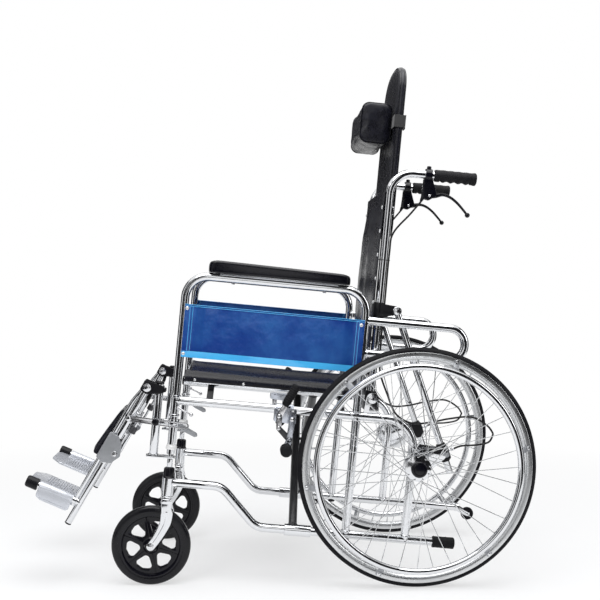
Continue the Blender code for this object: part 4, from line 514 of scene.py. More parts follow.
finishLooks = {
    "chrome": {"colour": (0.8, 0.81, 0.83), "worn": (0.7, 0.71, 0.73), "rough": (0.07, 0.16), "metal": 1.0,
               "scratch": 0.06, "bump": 0.04, "depth": 0.0002, "wear": 0.5, "slot": "chrome_tube"},
    "satinRim": {"colour": (0.7, 0.71, 0.72), "worn": (0.6, 0.61, 0.62), "rough": (0.26, 0.36), "metal": 1.0,
                 "scratch": 0.03, "bump": 0.03, "depth": 0.0002, "slot": "chrome_tube"},
    "spokeWire": {"colour": (0.78, 0.79, 0.8), "worn": (0.66, 0.67, 0.68), "rough": (0.22, 0.3), "metal": 1.0,
                  "bump": 0.05, "slot": "chrome_tube"},
    "boltHead": {"colour": (0.82, 0.83, 0.85), "worn": (0.66, 0.66, 0.68), "rough": (0.14, 0.26), "metal": 1.0,
                 "bump": 0.08, "markScale": 60.0, "slot": "chrome_tube"},
    "zinc": {"colour": (0.58, 0.61, 0.68), "worn": (0.48, 0.49, 0.52), "rough": (0.22, 0.36), "metal": 1.0,
             "markScale": 70.0, "bump": 0.12, "slot": "brake_steel"},
    "brightLever": {"colour": (0.74, 0.74, 0.76), "worn": (0.6, 0.6, 0.62), "rough": (0.18, 0.3), "metal": 1.0,
                    "markScale": 60.0, "bump": 0.1, "slot": "brake_steel"},
    "darkSteel": {"colour": (0.05, 0.05, 0.055), "worn": (0.16, 0.16, 0.17), "rough": (0.3, 0.45), "metal": 0.6,
                  "grain": "moulded", "bump": 0.1, "slot": "brake_steel"},
    "vinyl": {"colour": (0.005, 0.005, 0.01), "worn": (0.012, 0.013, 0.021), "rough": (0.24, 0.38), "grain": "vinyl",
              "grainScale": 620.0, "bump": 0.32, "depth": 0.0005, "coat": 0.12, "coatRough": 0.22, "sheen": 0.02,
              "specular": 0.3, "slot": "vinyl"},
    "padSkin": {"colour": (0.004, 0.004, 0.007), "worn": (0.008, 0.008, 0.012), "rough": (0.13, 0.22), "grain": "vinyl",
                "grainScale": 900.0, "bump": 0.16, "depth": 0.0003, "coat": 0.15, "coatRough": 0.16, "specular": 0.3,
                "slot": "vinyl"},
    "bluePaint": {"colour": (0.01, 0.05, 0.27), "worn": (0.03, 0.165, 0.47), "rough": (0.16, 0.26), "metal": 0.2,
                  "coat": 0.5, "coatRough": 0.06, "wear": 0.8, "markScale": 5.0, "bump": 0.05, "depth": 0.0002,
                  "ripple": 34.0, "slot": "blue_panel"},
    "gripRubber": {"colour": (0.004, 0.004, 0.006), "worn": (0.018, 0.018, 0.019), "rough": (0.55, 0.72),
                   "grain": "moulded", "grainScale": 1100.0, "bump": 0.3, "depth": 0.0004, "specular": 0.2,
                   "slot": "grip_rubber"},
    "tyreRubber": {"colour": (0.004, 0.004, 0.006), "worn": (0.02, 0.02, 0.021), "rough": (0.6, 0.8),
                   "grain": "moulded", "grainScale": 800.0, "bump": 0.3, "depth": 0.0004, "specular": 0.15,
                   "slot": "tyre"},
    "cableSkin": {"colour": (0.005, 0.005, 0.006), "worn": (0.014, 0.014, 0.015), "rough": (0.35, 0.5),
                  "grain": "moulded", "grainScale": 1200.0, "bump": 0.12, "specular": 0.35, "slot": "grip_rubber"},
    "blackPlastic": {"colour": (0.004, 0.004, 0.006), "worn": (0.014, 0.014, 0.015), "rough": (0.34, 0.5),
                     "grain": "moulded", "grainScale": 1000.0, "bump": 0.2, "specular": 0.22, "slot": "black_plastic"},
    "glossBlack": {"colour": (0.003, 0.003, 0.006), "worn": (0.01, 0.01, 0.011), "rough": (0.14, 0.26),
                   "grain": "moulded", "grainScale": 500.0, "bump": 0.05, "coat": 0.12, "specular": 0.25,
                   "slot": "black_plastic"},
    "greyPlastic": {"colour": (0.62, 0.64, 0.69), "worn": (0.5, 0.52, 0.56), "rough": (0.26, 0.4), "metal": 0.35,
                    "grain": "moulded", "grainScale": 900.0, "bump": 0.12, "coat": 0.15, "slot": "footplate_grey"},
    "clampGrey": {"colour": (0.34, 0.35, 0.37), "worn": (0.24, 0.25, 0.26), "rough": (0.34, 0.48), "metal": 0.5,
                  "grain": "moulded", "grainScale": 800.0, "bump": 0.2, "slot": "footplate_grey"},
    "whiteNylon": {"colour": (0.8, 0.8, 0.8), "worn": (0.66, 0.66, 0.65), "rough": (0.34, 0.48), "grain": "moulded",
                   "grainScale": 900.0, "bump": 0.1, "slot": "black_plastic"},
    # lighter cyan blue of the panel's folds and hems: painted highlight
    "panelEdge": {"colour": (0.06, 0.42, 0.8), "worn": (0.04, 0.3, 0.68), "rough": (0.14, 0.24), "coat": 0.6,
                  "bump": 0.05, "slot": "blue_panel"},
    "whiteRivet": {"colour": (0.8, 0.81, 0.82), "worn": (0.6, 0.6, 0.62), "rough": (0.2, 0.32), "metal": 0.6,
                   "markScale": 90.0, "bump": 0.05, "slot": "chrome_tube"},
    "braceBlack": {"colour": (0.022, 0.022, 0.024), "worn": (0.06, 0.06, 0.064), "rough": (0.28, 0.42),
                   "grain": "moulded", "grainScale": 500.0, "bump": 0.15, "coat": 0.3, "slot": "chrome_tube"},
    "casterRubber": {"colour": (0.004, 0.004, 0.006), "worn": (0.012, 0.012, 0.014), "rough": (0.26, 0.42),
                     "grain": "moulded", "grainScale": 700.0, "bump": 0.12, "coat": 0.1, "specular": 0.25,
                     "slot": "tyre"},
    "strapWeb": {"colour": (0.012, 0.012, 0.013), "worn": (0.026, 0.026, 0.028), "rough": (0.6, 0.78),
                 "grain": "moulded", "grainScale": 600.0, "bump": 0.35, "depth": 0.0005, "sheen": 0.3, "slot": "vinyl"},
}
finishes = {name: makeFinish(name, look) for name, look in finishLooks.items()}
print("finishes made")


# Setting pieces down on the chair's bodies


def fit(piece, name, body, finish, stands=()):
    piece.name = name
    piece.data.name = name
    piece.data.materials.clear()
    piece.data.materials.append(finishes[finish])
    pick(piece)
    piece.rotation_euler = (-math.radians(chair["lean"]), 0.0, 0.0)
    piece.location = (0.0, chair["frontPostY"], chair["lift"])
    settle()
    if body:
        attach(piece, body)
    if stands:
        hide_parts(*stands)
    return piece


def fitPair(piece, name, body, finish, stands=None):
    twin = mirrored(piece)
    for side, half in (("left", piece), ("right", twin)):
        nodes = ["%s_%s" % (stands, side)] if stands else []
        fitted = fit(half, "%s_%s" % (name, side), "%s_%s" % (side, body), finish, nodes)


# Camera, lights and floor

studio = {"cameraSpot": (2.951, -0.0728, 0.7815), "yaw": 2.6, "pitch": 1.19, "focalPixels": 1063.0}


def makeCamera():
    yaw = math.radians(studio["yaw"])
    pitch = math.radians(studio["pitch"])
    aim = Vector((-math.cos(pitch) * math.cos(yaw), math.cos(pitch) * math.sin(yaw), -math.sin(pitch)))
    bpy.ops.object.camera_add(location=studio["cameraSpot"], rotation=aim.to_track_quat("-Z", "Y").to_euler())
    camera = bpy.context.object
    camera.name = "photoCamera"
    camera.data.sensor_width = 36.0
    camera.data.lens = studio["focalPixels"] / 600.0 * 36.0
    camera.data.clip_end = 60.0
    bpy.context.scene.camera = camera


def makeLamp(name, spot, aimAt, size, power):
    bpy.ops.object.light_add(type="AREA", location=spot,
                             rotation=(Vector(aimAt) - Vector(spot)).to_track_quat("-Z", "Y").to_euler())
    lamp = bpy.context.object
    lamp.name = name
    lamp.data.shape = "RECTANGLE"
    lamp.data.size, lamp.data.size_y = size
    lamp.data.energy = power


def makeStudio():
    makeLamp("overheadSoftbox", (0.6, 0.0, 3.4), (0.0, 0.0, 0.4), (3.2, 3.2), 95.0)
    makeLamp("cameraSideSoftbox", (3.2, -2.4, 2.2), (0.0, 0.0, 0.6), (2.0, 2.4), 48.0)
    makeLamp("rearSoftbox", (1.6, 3.4, 2.0), (0.0, 0.0, 0.6), (1.6, 2.2), 30.0)
    world = bpy.data.worlds.new("whiteRoom")
    bpy.context.scene.world = world
    world.use_nodes = True
    tree = world.node_tree
    back = tree.nodes["Background"]
    ray = addNode(tree, "LightPath")
    seen = maths(tree, "MAXIMUM", maths(tree, "MAXIMUM", ray.outputs["Is Camera Ray"], ray.outputs["Is Glossy Ray"]),
                 ray.outputs["Is Transmission Ray"])
    setInputs(tree, back, {"Color": (1.0, 1.0, 1.0, 1.0), "Strength": ranged(tree, seen, 0.0, 1.0, 0.42, 1.0)})


def makeFloor():
    pickNone()
    bpy.ops.mesh.primitive_plane_add(size=40.0, location=(0.0, 0.0, -0.0004))
    floor = bpy.context.object
    floor.name = "studioFloor"
    settle()
    material, tree, shader = newMaterial("paleFloor")
    place = addNode(tree, "TexCoord").outputs["Object"]
    reach = addNode(tree, "VectorMath", {0: place}, operation="LENGTH")
    far = ranged(tree, reach.outputs["Value"], 0.8, 2.3, 0.55, 1.0)
    speck = addNode(tree, "TexNoise", {"Vector": place, "Scale": 6.0, "Detail": 4.0})
    values = {"A": (0.9, 0.91, 0.93, 1.0), "B": (0.92, 0.93, 0.945, 1.0), "Factor": speck.outputs[0]}
    tint = addNode(tree, "Mix", values, data_type="RGBA")
    setInputs(tree, shader, {"Base Color": tint.outputs["Result"], "Roughness": 0.9, "Specular IOR Level": 0.1})
    glow = addNode(tree, "Emission", {"Color": (1.0, 1.0, 1.0, 1.0), "Strength": 1.0})
    ray = addNode(tree, "LightPath")
    seen = maths(tree, "MAXIMUM", ray.outputs["Is Camera Ray"], ray.outputs["Is Glossy Ray"])
    share = maths(tree, "MULTIPLY", far, seen)
    blend = addNode(tree, "MixShader", {0: share, 1: shader.outputs[0], 2: glow.outputs[0]})
    setInputs(tree, tree.nodes["Material Output"], {"Surface": blend.outputs[0]})
    floor.data.materials.append(material)


# dark flags round the set: turn from and to (degrees from the camera side), low, high, distance, shade
flags = {
    "nearLeft": (-62, -10, 0.0, 1.9, 1.7, 0.02), "nearRight": (10, 62, 0.0, 1.9, 1.7, 0.02),
    "nearLow": (-9, 9, 0.0, 0.62, 3.4, 0.03), "nearHigh": (-40, 40, 2.3, 3.3, 3.5, 0.03),
    "sideLeft": (-126, -78, 0.0, 2.2, 1.9, 0.02), "sideRight": (78, 126, 0.0, 2.2, 1.9, 0.02),
    "farHigh": (140, 220, 1.02, 2.9, 4.4, 0.04), "farLow": (150, 210, 0.0, 0.42, 4.4, 0.05),
}


def makeFlag(name, start, end, low, high, distance, shade):
    # shows in bright metal, not to the camera
    count = max(2, round((end - start) / 12))
    rim = [(distance * math.cos(math.radians(start + (end - start) * i / count)),
            distance * math.sin(math.radians(start + (end - start) * i / count)), low) for i in range(count + 1)]
    piece = drawLine(rim)
    extrude((0, 0, high - low))
    leaveEdit()
    piece.name = name
    material, tree, shader = newMaterial(name)
    colour = (shade, shade, shade * 1.08, 1.0)
    setInputs(tree, shader, {"Base Color": colour, "Roughness": 1.0, "Specular IOR Level": 0.0})
    piece.data.materials.append(material)
    piece.visible_camera = False
    piece.visible_diffuse = False
    piece.visible_shadow = False


makeCamera()
makeStudio()
for name, place in flags.items():
    makeFlag(name + "Flag", *place)
makeFloor()
bpy.context.scene.view_settings.view_transform = "Standard"
print("camera, lamps and floor ready")


# Side frames

sideFrame = {
    "rearPost": 0.618, "bend": 0.075, "front": 0.263, "dropStart": 0.136, "dropEnd": 0.232, "dropBend": 0.05,
    "leftEnd": 0.742, "rightEnd": 0.852, "rearSocket": 0.588, "frontSocket": 0.4868, "axle": (0.624, 0.3642),
    "roller": (0.8798, 0.1509), "hinge": (0.501, 0.52),
}


def weld(spot, axis, radius, bead=0.0018):
    # uneven bead where one tube meets another
    piece = ring(radius + bead * 0.4, bead, spot, axis, 36, 8)
    for point in piece.data.vertices:
        point.co += Vector(noise.noise_vector(point.co * 260.0)) * 0.0004
    return piece


def postProfile(foot, top, radius, collarHeights):
    profile = [(0.0, foot), (radius, foot)]
    for height in collarHeights:
        profile += [(radius, height - 0.0035), (radius + 0.0022, height - 0.0025), (radius + 0.0025, height),
                    (radius + 0.0022, height + 0.0025), (radius, height + 0.0035)]
    return profile + [(radius, top), (radius - 0.0012, top + 0.0006), (radius - 0.0028, top - 0.0006),
                      (radius - 0.0028, top - 0.02), (0.0, top - 0.02)]


def makeSideFrame(endY):
    x = chair["frame"]
    r = chair["tube"]
    s = sideFrame
    low = chair["low"]
    pieces = [
        bentTube([(x, 0, chair["rail"]), (x, s["rearPost"], chair["rail"]), (x, s["rearPost"], low)], [s["bend"]], r),
        bentTube([(x, 0.006, s["front"]), (x, s["dropStart"], s["front"]), (x, s["dropEnd"], low), (x, endY, low)],
                 [s["dropBend"], s["dropBend"]], r, edge=0.0008),
        rod((x, 0, 0.3), (x, 0, 0.337), 0.0075),
        turned(postProfile(0.336, s["frontSocket"] - 0.001, r, (0.435, 0.4832)), (x, 0, 0), (0, 0, 1), 32),
        turned([(0, 0.2285), (0.014, 0.2285), (0.015, 0.2295), (0.015, 0.2745), (0, 0.2745)], (x, 0, 0), (0, 0, 1), 32),
        turned(postProfile(low, s["rearSocket"] - 0.001, 0.0107, (s["rearSocket"] - 0.004,)),
               (x, chair["middlePost"], 0), (0, 0, 1), 32),
        weld((x, chair["middlePost"], chair["rail"] + 0.0095), (0, 0, 1), 0.0108),
        weld((x, chair["middlePost"], chair["rail"] - 0.0095), (0, 0, 1), 0.0108),
        weld((x, chair["middlePost"], low + 0.0095), (0, 0, 1), 0.0108),
        weld((x, s["rearPost"], low + 0.0095), (0, 0, 1), 0.011),
        weld((x, 0.012, s["front"]), (0, 1, 0), 0.011),
        weld((x, 0.01, chair["rail"]), (0, 1, 0), 0.011),
    ]
    # lug and bolt that the back turns on
    lug = [(0.479, 0.47), (0.523, 0.47)] + arcSpots(s["hinge"], 0.016, 0, 180, 12)
    pieces.append(sidePlate(lug, x - 0.002, x + 0.002, 0.0006))
    pieces.append(rod(at(0.1765, s["hinge"]), at(x + 0.006, s["hinge"]), 0.005))
    pieces.append(rod(at(0.1995, s["hinge"]), at(x - 0.001, s["hinge"]), 0.009, 24))
    pieces.append(bolt(s["hinge"], x + 0.002, 1, 0.0085))
    pieces.append(bolt(s["hinge"], 0.1765, -1, 0.008))
    # axle plate on the rear post, reaching back to the strut's lock
    plateOutline = softCorners([(0.606, 0.4162), (0.606, 0.3302), (0.654, 0.3332), (0.704, 0.383), (0.7105, 0.403),
                                (0.694, 0.411)], 0.007)
    pieces.append(sidePlate(plateOutline, 0.2285, 0.2325, 0.0007))
    pieces.append(turned([(0, 0.2295), (0.0165, 0.2295), (0.0165, 0.244), (0.015, 0.246), (0.015, 0.261), (0, 0.261)],
                         at(0, s["axle"]), (1, 0, 0), 32))
    pieces.append(rod(at(0.2375, s["axle"]), at(0.32, s["axle"]), 0.006))
    return pieces


def makeRollerFork():
    x = chair["frame"]
    spot = sideFrame["roller"]
    cheek = capsule((0.842, chair["low"]), spot, 0.009, 0.0068)
    return [*cheekPair(cheek, x, 0.0069, 0.0094), rod(at(x - 0.011, spot), at(x + 0.011, spot), 0.0027),
            turned([(0, 0.84), (0.0114, 0.84), (0.0124, 0.841), (0.0124, 0.853), (0.0114, 0.854), (0, 0.854)],
                   (x, 0, chair["low"]), (0, 1, 0), 24)]


def makeSideFrames():
    left = joined(*makeSideFrame(sideFrame["leftEnd"]))
    fit(left, "sideTubes_left", "left_frame", "chrome", ["side_frame_left"])
    right = otherSide(joined(*makeSideFrame(sideFrame["rightEnd"]), *makeRollerFork()))
    fit(right, "sideTubes_right", "right_frame", "chrome", ["side_frame_right"])
    x = chair["frame"]
    cap = turned([(0, 0.2742), (0.0152, 0.2742), (0.0156, 0.2752), (0.0156, 0.2775), (0.0142, 0.279), (0.0139, 0.296),
                  (0.0128, 0.2995), (0.0105, 0.301), (0, 0.301)], (x, 0, 0), (0, 0, 1), 32)
    fitPair(cap, "stemCap", "frame", "glossBlack")
    bush = turned([(0.0113, 0.348), (0.0135, 0.348), (0.014, 0.349), (0.014, 0.356), (0.0125, 0.3575), (0.0125, 0.36),
                   (0.0113, 0.3605), (0.0113, 0.348)], (x, 0, 0), (0, 0, 1), 32)
    fitPair(bush, "postBush", "frame", "whiteNylon")
    # cradles that the seat rails drop into
    cradles = []
    for y in (0.085, 0.425):
        outline = [(x - 0.004, 0.4665), (x - 0.003, 0.482), (0.1945, 0.5035), (0.193, 0.512), (0.1885, 0.512)]
        outline += [(chair["seatRail"] + 0.0122 * math.cos(a), chair["seat"] + 0.0122 * math.sin(a))
                    for a in [math.radians(-38 - 12 * k) for k in range(9)]]
        outline += [(0.1655, 0.511), (0.17, 0.4985), (0.2, 0.476)]
        cradles.append(slab([(a, y - 0.008, z) for a, z in outline], (0, 0.016, 0), 0.0008))
    fitPair(joined(*cradles), "seatCradles", "frame", "blackPlastic")
    # rubber tip on the left lower rail
    tip = turned([(0.0115, 0.69), (0.014, 0.69), (0.0148, 0.692), (0.0148, 0.694), (0.0143, 0.6955), (0.0144, 0.722),
                  (0.015, 0.7245), (0.0144, 0.727), (0.0148, 0.742), (0.014, 0.7455), (0.0105, 0.747), (0, 0.7472),
                  (0, 0.7425), (0.0115, 0.7423), (0.0115, 0.69)], (x, 0, chair["low"]), (0, 1, 0), 32)
    fit(tip, "railTip_left", "left_frame", "gripRubber", ["rail_tip_left"])
    roller = turned([(0.0032, -0.0065), (0.0085, -0.0065), (0.0095, -0.0056), (0.015, -0.0056), (0.0165, -0.0065),
                     (0.0183, -0.0052), (0.0189, -0.002), (0.0189, 0.002), (0.0183, 0.0052), (0.0165, 0.0065),
                     (0.015, 0.0056), (0.0095, 0.0056), (0.0085, 0.0065), (0.0032, 0.0065), (0.0032, -0.0065)],
                    at(-x, sideFrame["roller"]), (1, 0, 0), 40)
    fit(roller, "rearRoller_right", "rear_roller", "tyreRubber", ["rear_roller_right"])
    plug = turned([(0, 0), (0.0102, 0), (0.0108, 0.0008), (0.0108, 0.003), (0.0095, 0.0048), (0.006, 0.0056),
                   (0, 0.0058)], (x, sideFrame["rearPost"], 0.1668), (0, 0, -1), 28)
    plug = joined(plug, turned([(0, 0), (0.01, 0), (0.0106, 0.0008), (0.0106, 0.0028), (0.009, 0.0044), (0, 0.0052)],
                               (x, chair["middlePost"], 0.1575), (0, 0, -1), 28))
    fitPair(plug, "postPlugs", "frame", "blackPlastic")
    print("side frames made")


makeSideFrames()


# Armrests

armrest = {"top": 0.794, "bend": 0.058, "loopTop": 0.7195, "loopLow": 0.636, "loopEnd": 0.7253, "padFront": 0.053,
           "padRear": 0.416, "padWidth": 0.052, "padHeight": 0.03, "panelLow": 0.586, "panelHigh": 0.72}


def makeArmrests():
    x = chair["frame"]
    a = armrest
    post = chair["middlePost"]
    tube = bentTube([(x, 0, 0.4878), (x, 0, a["top"]), (x, post, a["top"]), (x, post, 0.589)], [a["bend"], a["bend"]],
                    chair["tube"], bendStep=6.0)
    loop = bentTube([(x, post, a["loopTop"]), (x, a["loopEnd"], a["loopTop"]), (x, a["loopEnd"], a["loopLow"]),
                     (x, post, a["loopLow"])], [0.0416, 0.0416], 0.0107, bendStep=7.5)
    spigots = [rod((x, y, top - 0.054), (x, y, top + 0.012), 0.008) for y, top in ((0, 0.4868), (post, 0.588))]
    welds = [weld((x, post + 0.0098, z), (0, 1, 0), 0.0107) for z in (a["loopTop"], a["loopLow"])]
    fitPair(joined(tube, loop, *spigots, *welds), "armrestTubes", "armrest", "chrome", "armrest_frame")

    # moulded pad: the same rounded edge carried all round, with half-round ends
    low = a["top"] + chair["tube"] + 0.0003
    middle = (a["padFront"] + a["padRear"]) / 2
    straight = (a["padRear"] - a["padFront"] - a["padWidth"]) / 2
    edgeCourse = [(0.0, 0.0), (0.55, 0.0), (0.8, 0.0), (0.9, 0.012), (0.96, 0.045), (0.99, 0.12), (1.0, 0.25),
                  (1.0, 0.45), (0.995, 0.6), (0.975, 0.74), (0.935, 0.85), (0.88, 0.925), (0.8, 0.965), (0.6, 0.99),
                  (0.3, 1.0), (0.0, 1.0)]

    def padPoint(around, up):
        out, rise = edgeCourse[round(up * (len(edgeCourse) - 1))]
        turn = math.tau * around
        along = straight * max(-1.0, min(1.0, 1.6 * math.sin(turn)))
        y = middle + along + out * a["padWidth"] / 2 * math.sin(turn)
        height = a["padHeight"] + 0.003 - 0.006 * (y - a["padFront"]) / (a["padRear"] - a["padFront"])
        end = max(0.0, abs(y - middle) / (straight + a["padWidth"] / 2) - 0.84) / 0.16
        return (x + out * a["padWidth"] / 2 * math.cos(turn), y, low + rise * height * (1.0 - 0.16 * end * end))

    pad = rolled(120, len(edgeCourse) - 1, padPoint, capped=False, angle=60)
    fitPair(pad, "armPad", "armrest", "padSkin", "armrest_pad")

    # two screws under the pad, and the pad's steel strip
    strip = block((x - 0.01, a["padFront"] + 0.03, low - 0.0012), (x + 0.01, a["padRear"] - 0.03, low + 0.004), 0.0004)
    screws = [turned([(0, 0), (0.0048, 0), (0.0048, 0.0018), (0.0036, 0.003), (0, 0.0032)],
                     (x, y, a["top"] - chair["tube"] + 0.0002), (0, 0, -1), 16) for y in (0.118, 0.352)]
    fitPair(joined(strip, *screws), "padScrews", "armrest", "boltHead")


def makeSidePanel():
    a = armrest
    face = chair["frame"] + chair["tube"] + 0.0004
    front, rear = 0.003, chair["middlePost"] - 0.002
    low, high = a["panelLow"], a["panelHigh"]
    # section seen from above: flat on both tubes, stepped in between them
    course = [(front, 0.0), (front + 0.016, 0.0), (front + 0.02, -0.0018), (front + 0.035, -0.0018),
              (front + 0.037, -0.001)]
    course += [(front + 0.037 + (rear - front - 0.074) * k / 24, -0.001) for k in range(1, 25)]
    course += [(rear - 0.035, -0.0018), (rear - 0.02, -0.0018), (rear - 0.016, 0.0), (rear, 0.0)]
    pickNone()
    bpy.ops.mesh.primitive_grid_add(x_subdivisions=len(course) - 1, y_subdivisions=20, size=1.0)
    sheet = bpy.context.object
    for point in sheet.data.vertices:
        y, step = course[round((point.co.x + 0.5) * (len(course) - 1))]
        share = point.co.y + 0.5
        z = low + (high - low) * share
        middle = math.sin(math.pi * share) * min(1.0, max(0.0, (y - front - 0.03) / 0.03),
                                                 max(0.0, (rear - 0.03 - y) / 0.03))
        buckle = noise.noise(Vector((y * 17.0, z * 13.0, 2.7))) * 0.0011 * middle
        point.co = (face + 0.0004 + step + buckle, y, z)
    closeUp(sheet)
    useModifier(sheet, "SOLIDIFY", thickness=0.0012, offset=-1.0)
    flanges = [block((face - 0.0115, 0.0135, z), (face + 0.0004, 0.4505, z + 0.0013), 0.0004)
               for z in (low + 0.0001, high - 0.0014)]
    sheet = smooth(joined(closeUp(sheet), *flanges), 25)
    fitPair(sheet, "bluePanel", "armrest", "bluePaint", "side_panel")
    # turned lower lip, with the folded lines along the other edges, all in a lighter cyan blue that is painted
    # highlight on the folds
    lip = slab([(face + 0.0002, front + 0.0005, low - 0.0002), (face + 0.0024, front + 0.0005, low - 0.0002),
                (face + 0.0024, front + 0.0005, low + 0.0012), (face + 0.0002, front + 0.0005, low + 0.0165)],
               (0, rear - front - 0.001, 0), 0.0005)
    lines = [block((face - 0.002, y, low + 0.012), (face + 0.0009, y + 0.0013, high - 0.003), 0.0005)
             for y in (front + 0.0125, front + 0.0195, rear - 0.0138, rear - 0.0208)]
    lines.append(block((face - 0.001, front + 0.001, high - 0.005), (face + 0.001, rear - 0.001, high - 0.0036),
                       0.0005))
    lines.append(block((face - 0.003, front, high - 0.001), (face + 0.0008, rear, high + 0.0004), 0.0005))
    fitPair(joined(lip, *lines), "panelHem", "armrest", "panelEdge")
    rivets = [rivet((y, z), face + 0.0005, 1, 0.0046, 0.002)
              for y, z in ((0.0085, low + 0.008), (0.0085, high - 0.01), (0.4535, low + 0.013), (0.4535, high - 0.013))]
    fitPair(joined(*rivets), "panelRivets", "armrest", "whiteRivet")
    print("armrests made")


makeArmrests()
makeSidePanel()


# Cross brace

brace = {"y": 0.34, "apart": 0.0125}


def makeBrace(y, withBolt):
    x = chair["frame"]
    low = (x, y, chair["low"])
    high = (-chair["seatRail"], y, chair["seat"])
    member = bentTube([low, high], [], chair["tube"])
    sleeve = sleeved(0.0117, 0.0148, -0.034, 0.034, (0.0006, 0.0006), (x, brace["y"], chair["low"]), (0, 1, 0))
    run = (Vector(high) - Vector(low)).normalized()
    beads = [weld(Vector(low) + run * 0.0145, run, 0.011), weld(Vector(high) - run * 0.0105, run, 0.011)]
    parts = [member, *beads]
    share = x / (x + chair["seatRail"])
    centre = (0.0, brace["y"], chair["low"] + (chair["seat"] - chair["low"]) * share)
    if withBolt:  # scissor pin
        parts.append(rod((centre[0], centre[1] - 0.03, centre[2]), (centre[0], centre[1] + 0.027, centre[2]), 0.004))
    return joined(*parts), sleeve


def makeBraces():
    y = brace["y"]
    bar, sleeve = makeBrace(y - brace["apart"], True)
    fit(bar, "braceBar_a", "brace_a", "braceBlack", ["brace_a"])
    fit(sleeve, "braceSleeve_a", "brace_a", "chrome")
    bar, sleeve = makeBrace(y + brace["apart"], False)
    fit(otherSide(bar), "braceBar_b", "brace_b", "braceBlack", ["brace_b"])
    fit(otherSide(sleeve), "braceSleeve_b", "brace_b", "chrome")
    x = chair["seatRail"]
    z = chair["seat"]
    rail = rod((-x, 0.0134, z), (-x, 0.45, z), chair["tube"], 24)
    other = copied(rail)
    ends = [turned([(0, 0), (0.0115, 0), (0.0118, 0.0006), (0.0118, 0.0022), (0.01, 0.0042), (0, 0.005)],
                   (-x, end, z), (0, way, 0), 28) for end, way in ((0.0136, -1), (0.4498, 1))]
    otherEnds = [copied(piece) for piece in ends]
    for piece in (other, *otherEnds):
        piece.data.transform(Matrix.Translation((2 * x, 0, 0)))
    fit(rail, "seatRail_right", "brace_a", "chrome")
    fit(other, "seatRail_left", "brace_b", "chrome")
    fit(joined(*ends), "seatRailPlugs_right", "brace_a", "blackPlastic")
    fit(joined(*otherEnds), "seatRailPlugs_left", "brace_b", "blackPlastic")
    print("cross brace made")


makeBraces()


# Large wheels

wheel = {
    "axle": (0.624, 0.3642), "radius": 0.30333, "tyreInner": 0.2919, "rimInner": 0.2718, "spokes": 36, "lead": 62.0,
    "flange": 0.033, "flangeX": 0.02, "handrim": 0.257, "handrimTube": 0.0085, "handrimX": 0.325, "tabs": 6,
    "firstTab": -75.0,
}


def wheelCentre():
    return at(chair["wheel"], wheel["axle"])


def makeTyre():
    outer, inner = wheel["radius"], wheel["tyreInner"]
    half = [(inner, 0.0104), (inner + 0.0012, 0.0113), (inner + 0.003, 0.0114), (inner + 0.0056, 0.0106),
            (inner + 0.008, 0.0088), (inner + 0.009, 0.0074), (inner + 0.0088, 0.0068), (outer - 0.0012, 0.0058),
            (outer - 0.0006, 0.0046), (outer - 0.0016, 0.0038), (outer - 0.0004, 0.003), (outer, 0.0014),
            (outer - 0.001, 0.0007)]
    profile = half + [(outer - 0.001, 0.0)] + [(r, -a) for r, a in reversed(half)] + [half[0]]
    return turned(profile, wheelCentre(), (1, 0, 0), 128, 50)


def makeRim():
    outer = wheel["tyreInner"] - 0.0002
    inner = wheel["rimInner"]
    half = [(inner, 0.0035), (inner + 0.0012, 0.0062), (inner + 0.004, 0.0092), (inner + 0.0075, 0.0112),
            (inner + 0.0115, 0.0119), (inner + 0.0165, 0.012), (outer - 0.0012, 0.0119), (outer, 0.0112)]
    profile = half + [(r, -a) for r, a in reversed(half)] + [half[0]]
    return turned(profile, wheelCentre(), (1, 0, 0), 128, 40)


def makeHub():
    half = [(0.015, 0.0), (0.015, 0.015), (0.017, 0.0172), (0.031, 0.0184), (0.033, 0.019), (0.033, 0.021),
            (0.0315, 0.0216), (0.019, 0.0222), (0.016, 0.0232), (0.0138, 0.027), (0.013, 0.0279), (0.0066, 0.0279)]
    profile = [(r, -a) for r, a in reversed(half)] + half[1:] + [(0.0066, -0.0279)]
    return turned(profile, wheelCentre(), (1, 0, 0), 56, 30)


def makeSpokes():
    # one wire of each kind, then copied round the hub
    spot = Vector(wheelCentre())
    kinds = []
    nipples = []
    for index in range(4):
        side = 1.0 if index % 2 else -1.0
        lead = 1.0 if (index // 2) % 2 else -1.0
        rimAngle = math.tau * (index + 0.5) / wheel["spokes"]
        hubAngle = rimAngle + lead * math.radians(wheel["lead"])
        hubRadius = wheel["flange"] - 0.0035
        rimRadius = wheel["rimInner"] + 0.003
        aside = lead * 0.0014
        start = spot + Vector((side * wheel["flangeX"] + aside, hubRadius * math.cos(hubAngle),
                               hubRadius * math.sin(hubAngle)))
        end = spot + Vector((side * 0.002 + aside, rimRadius * math.cos(rimAngle), rimRadius * math.sin(rimAngle)))
        run = (end - start).normalized()
        spoke = joined(bentTube([start, end], [], 0.00115, 8),
                       turned([(0, -0.0012), (0.0021, -0.0012), (0.0021, 0.0006), (0, 0.001)],
                              start + Vector((lead * 0.0014, 0, 0)), (lead, 0, 0), 8))
        nipple = turned([(0, 0), (0.0015, 0), (0.0019, 0.001), (0.0021, 0.009), (0.003, 0.012), (0.003, 0.015),
                         (0, 0.015)], end - run * 0.015, run, 8)
        kinds.append(turnedCopies(spoke, wheel["spokes"] // 4, spot, (1, 0, 0)))
        nipples.append(turnedCopies(nipple, wheel["spokes"] // 4, spot, (1, 0, 0)))
    return joined(*kinds), joined(*nipples)


